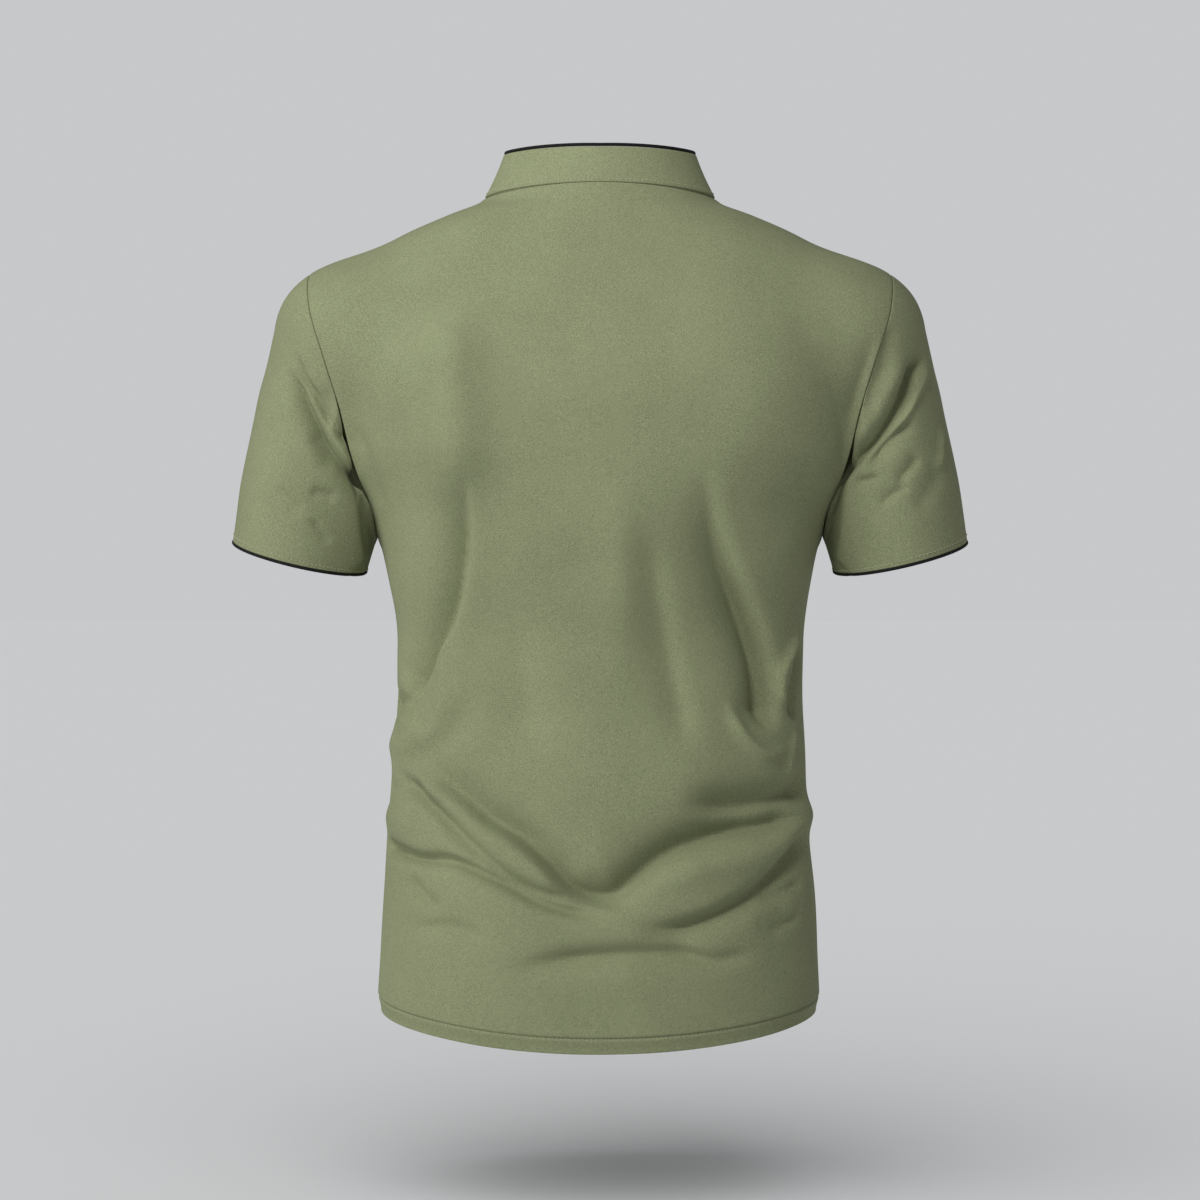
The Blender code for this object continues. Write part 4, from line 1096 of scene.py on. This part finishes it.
def body_panel(name, face, half_columns, rows, finish, thread):
    """The back or front: the worn panel, with its seams turned in and its hem folded up and sewn."""
    points, normal = worn(panel(face, half_columns, rows), "body")
    points, normal = finer_hem(points), finer_hem(normal)
    points = grooved(points, normal)
    sewn = hem_stitches("hem_stitches_" + name, points, normal, thread)
    points, normal = curled(points, normal, ("left", "right"))
    points, normal = curled(points, normal, ("top",), allowance=False)
    points, normal = hem_up(points, normal, HEM_DEPTH)
    if face > 0:
        points = points[:, ::-1]
    made = shell("cloth_" + name, points, finish, name)


def hem_stitches(name, points, normal, finish):
    """The line of stitches along a body hem, in its groove: where each column of points reaches its height."""
    up = height_above(points)
    column = np.arange(points.shape[1])
    above = np.argmax(up > HEM_GROOVE[0], axis=0)
    share = (HEM_GROOVE[0] - up[above - 1, column]) / (up[above, column] - up[above - 1, column])
    line = points[above - 1, column] * (1 - share[:, None]) + points[above, column] * share[:, None]
    return stitches(name, line, normal[above, column], finish)


def make_sleeve(side, word, finish, black, thread):
    """A sleeve with its armhole edge turned in and its hem folded up, its piping beside the fold, and its
    stitches on the row of points that is nearest to their height."""
    points, normal = worn(sleeve(side), "sleeve")
    row_gap = np.linalg.norm(points[-1] - points[-2], axis=-1).mean()
    above_piping = int(round(SLEEVE_SEWN / row_gap)) or 1
    sewn, sewn_normal = points[-1 - above_piping], normal[-1 - above_piping]
    piping = beside_edge(points[-1], points[-3], side * WALL / 2, SEAM + SLEEVE_PIPING, closed=True)
    turned, turned_normal = hem_up(points[::-1], normal[::-1], SLEEVE_HEM_DEPTH)
    turned, turned_normal = np.swapaxes(turned, 0, 1), np.swapaxes(turned_normal, 0, 1)
    turned, turned_normal = curl_last(turned, turned_normal)
    turned = np.swapaxes(turned, 0, 1)[::-1]
    if side < 0:
        turned = turned[:, ::-1]
    made = shell("cloth_sleeve_" + word, turned, finish, "sleeve_" + word, closed=True)
    cord = tube_object("piped_sleeve_" + word, piping, SLEEVE_PIPING, black, closed=True)
    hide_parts("sleeve_piping_" + word)
    ring = [np.concatenate((values, values[:1])) for values in (sewn, sewn_normal)]
    line = stitches("sleeve_stitches_" + word, *ring, thread)


def make_placket(finish, thread):
    """The button band, a rectangle laid on the worn front, with its edges turned under, its stitches and its
    buttonholes."""
    out, height = np.meshgrid(
        np.linspace(-PLACKET_WIDTH / 2, PLACKET_WIDTH / 2, PLACKET_COLUMNS + 1),
        np.linspace(PLACKET_TOP - PLACKET_LENGTH, PLACKET_TOP, PLACKET_ROWS + 1),
    )
    points, normal = on_front(out, height, SEAM + PLACKET_WALL)
    turned, _ = curled(points, normal, ("left", "right", "top", "bottom"), allowance=False)
    made = shell("cloth_placket", turned[:, ::-1], finish, "placket", thickness=PLACKET_CLOTH)
    side = PLACKET_WIDTH / 2 - PLACKET_SEWN
    top, bottom = PLACKET_TOP - PLACKET_SEWN_TOP, PLACKET_TOP - PLACKET_LENGTH + PLACKET_SEWN
    box = PLACKET_TOP - PLACKET_LENGTH + PLACKET_BOX
    ends = (((-side, top), (-side, bottom)), ((-side, bottom), (side, bottom)), ((side, box), (-side, box)),
            ((side, bottom), (side, top)))
    for number, line_ends in enumerate(ends, 1):
        flat = np.linspace(*np.array(line_ends, float), SEWN_POINTS)
        line, line_normal = on_front(flat[:, 0], flat[:, 1], SEAM + PLACKET_WALL)
        stitches("placket_stitches_%d" % number, line, line_normal, thread)
    for number, drop in enumerate(BUTTON_DROPS, 1):
        make_buttonhole("buttonhole_%d" % number, PLACKET_TOP - drop, thread)


def make_buttonhole(name, height, thread):
    """A buttonhole: two ridges of close stitches beside an upright slit, with a bar at each end."""
    along = np.arange(-BUTTONHOLE_HALF, BUTTONHOLE_HALF, BUTTONHOLE_PITCH)
    starts, ends = [], []
    near, far = BUTTONHOLE_STITCH
    for side in (-1, 1):
        starts.append(np.stack((side * near + 0 * along, height + along), -1))
        ends.append(np.stack((side * far + 0 * along, height + along), -1))
    for end in (-1, 1):
        for step in BUTTONHOLE_BAR:
            z = height + end * (BUTTONHOLE_HALF + step)
            starts.append(np.array(((-far, z),)))
            ends.append(np.array(((far, z),)))
    start, end = np.concatenate(starts), np.concatenate(ends)
    a, normal = on_front(start[:, 0], start[:, 1], SEAM + PLACKET_WALL)
    b, _ = on_front(end[:, 0], end[:, 1], SEAM + PLACKET_WALL)
    return threads(name, a, b, normal, thread, BUTTONHOLE_THREAD)


def make_button(name, height, finish, thread):
    """A button: its profile turned round its axis, with four drilled holes, and sewn on with two crossed
    threads."""
    spot, normal = on_front(np.zeros(1), np.full(1, height), SEAM + PLACKET_WALL + SEAM)
    out = normal[0]
    wide_way = unit(np.cross(out, (0, 0, 1)))
    up_way = np.cross(wide_way, out)
    turn = np.linspace(0, 2 * pi, BUTTON_SIDES, endpoint=False)[None, :, None]
    radius, rise = (np.array(c)[:, None, None] for c in zip(*BUTTON_PROFILE))
    rings = spot[0] + radius * (np.cos(turn) * wide_way + np.sin(turn) * up_way) + rise * out
    index = ring_numbers(rings.shape[:2])
    faces = quads(index).tolist() + [index[0, -2::-1].tolist(), index[-1, :-1].tolist()]
    made = mesh_object("sewn_" + name, rings, faces, finish)
    places = [x * wide_way + y * up_way for x, y in ((1, 1), (-1, 1), (-1, -1), (1, -1))]
    places = spot[0] + BUTTON_HOLE_OUT * np.array(places)
    for number, place in enumerate(places):
        bpy.ops.mesh.primitive_cylinder_add(
            vertices=BUTTON_HOLE_SIDES, radius=BUTTON_HOLE * MM, depth=4 * BUTTON_THICK * MM,
            location=place * MM, rotation=Vector(out).to_track_quat("Z", "Y").to_euler(),
        )
        drill = bpy.context.object
        cut = made.modifiers.new("hole_%d" % number, "BOOLEAN")
        cut.object, cut.solver = drill, "EXACT"
    shape = bpy.data.meshes.new_from_object(made.evaluated_get(bpy.context.evaluated_depsgraph_get()))
    for cut in list(made.modifiers):
        drill = cut.object
        made.modifiers.remove(cut)
        bpy.data.objects.remove(drill)
    made.data = shape
    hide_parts(name)
    face_out = out * BUTTON_FACE
    start, end = places[[0, 1]] + face_out, places[[2, 3]] + face_out
    return threads("button_thread_" + name[-1], start, end, np.array((out, out)), thread, BUTTON_THREAD)


def neck_allowance(foot):
    """The collar's seam allowance: from its foot a little inwards and down, inside the neck."""
    inwards = unit(-foot * (1, 1, 0))
    return np.stack([foot + inwards * inward + (0, 0, -down) for inward, down in COLLAR_ALLOWANCE])


def make_collar(finish, black, thread):
    """The band collar with its edges turned in, its piping along its free edge, and the stitches that hold it
    on its second row of points."""
    band = collar_band(COLLAR_ROWS, SEAM)
    rim_edge = np.concatenate((band[1:-1, 0], band[-1], band[-2:0:-1, -1]))
    next_in = np.concatenate((band[1:-1, 2], band[-3], band[-2:0:-1, -3]))
    rim = smooth_line(beside_edge(rim_edge, next_in, -COLLAR_WALL / 2, SEAM + COLLAR_PIPING), PIPING_STEP)
    outside = grid_normals(band)
    points, _ = curled(band, outside, ("bottom", "top", "left", "right"), allowance=False)
    points = np.concatenate((neck_allowance(points[0]), points))
    made = shell("cloth_collar", points[:, ::-1], finish, "collar", thickness=COLLAR_CLOTH)
    cord = tube_object("piped_collar", rim, COLLAR_PIPING, black)
    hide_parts("collar_piping")
    sewn = stitches("collar_stitches", band[1], outside[1], thread)


knit = fine_knit("fine_knit", "#6E7356", "#8F9572")
piping_black = woven_piping()
thread = spun_thread()
button_plastic = moulded_button()

body_panel("back", 1, BACK_HALF_COLUMNS, BACK_ROWS, knit, thread)
body_panel("front", -1, FRONT_HALF_COLUMNS, FRONT_ROWS, knit, thread)
for side, word in ((1, "left"), (-1, "right")):
    make_sleeve(side, word, knit, piping_black, thread)
make_collar(knit, piping_black, thread)

make_placket(knit, thread)
for number, drop in enumerate(BUTTON_DROPS, 1):
    make_button("button_%d" % number, PLACKET_TOP - drop, button_plastic, thread)

studio()
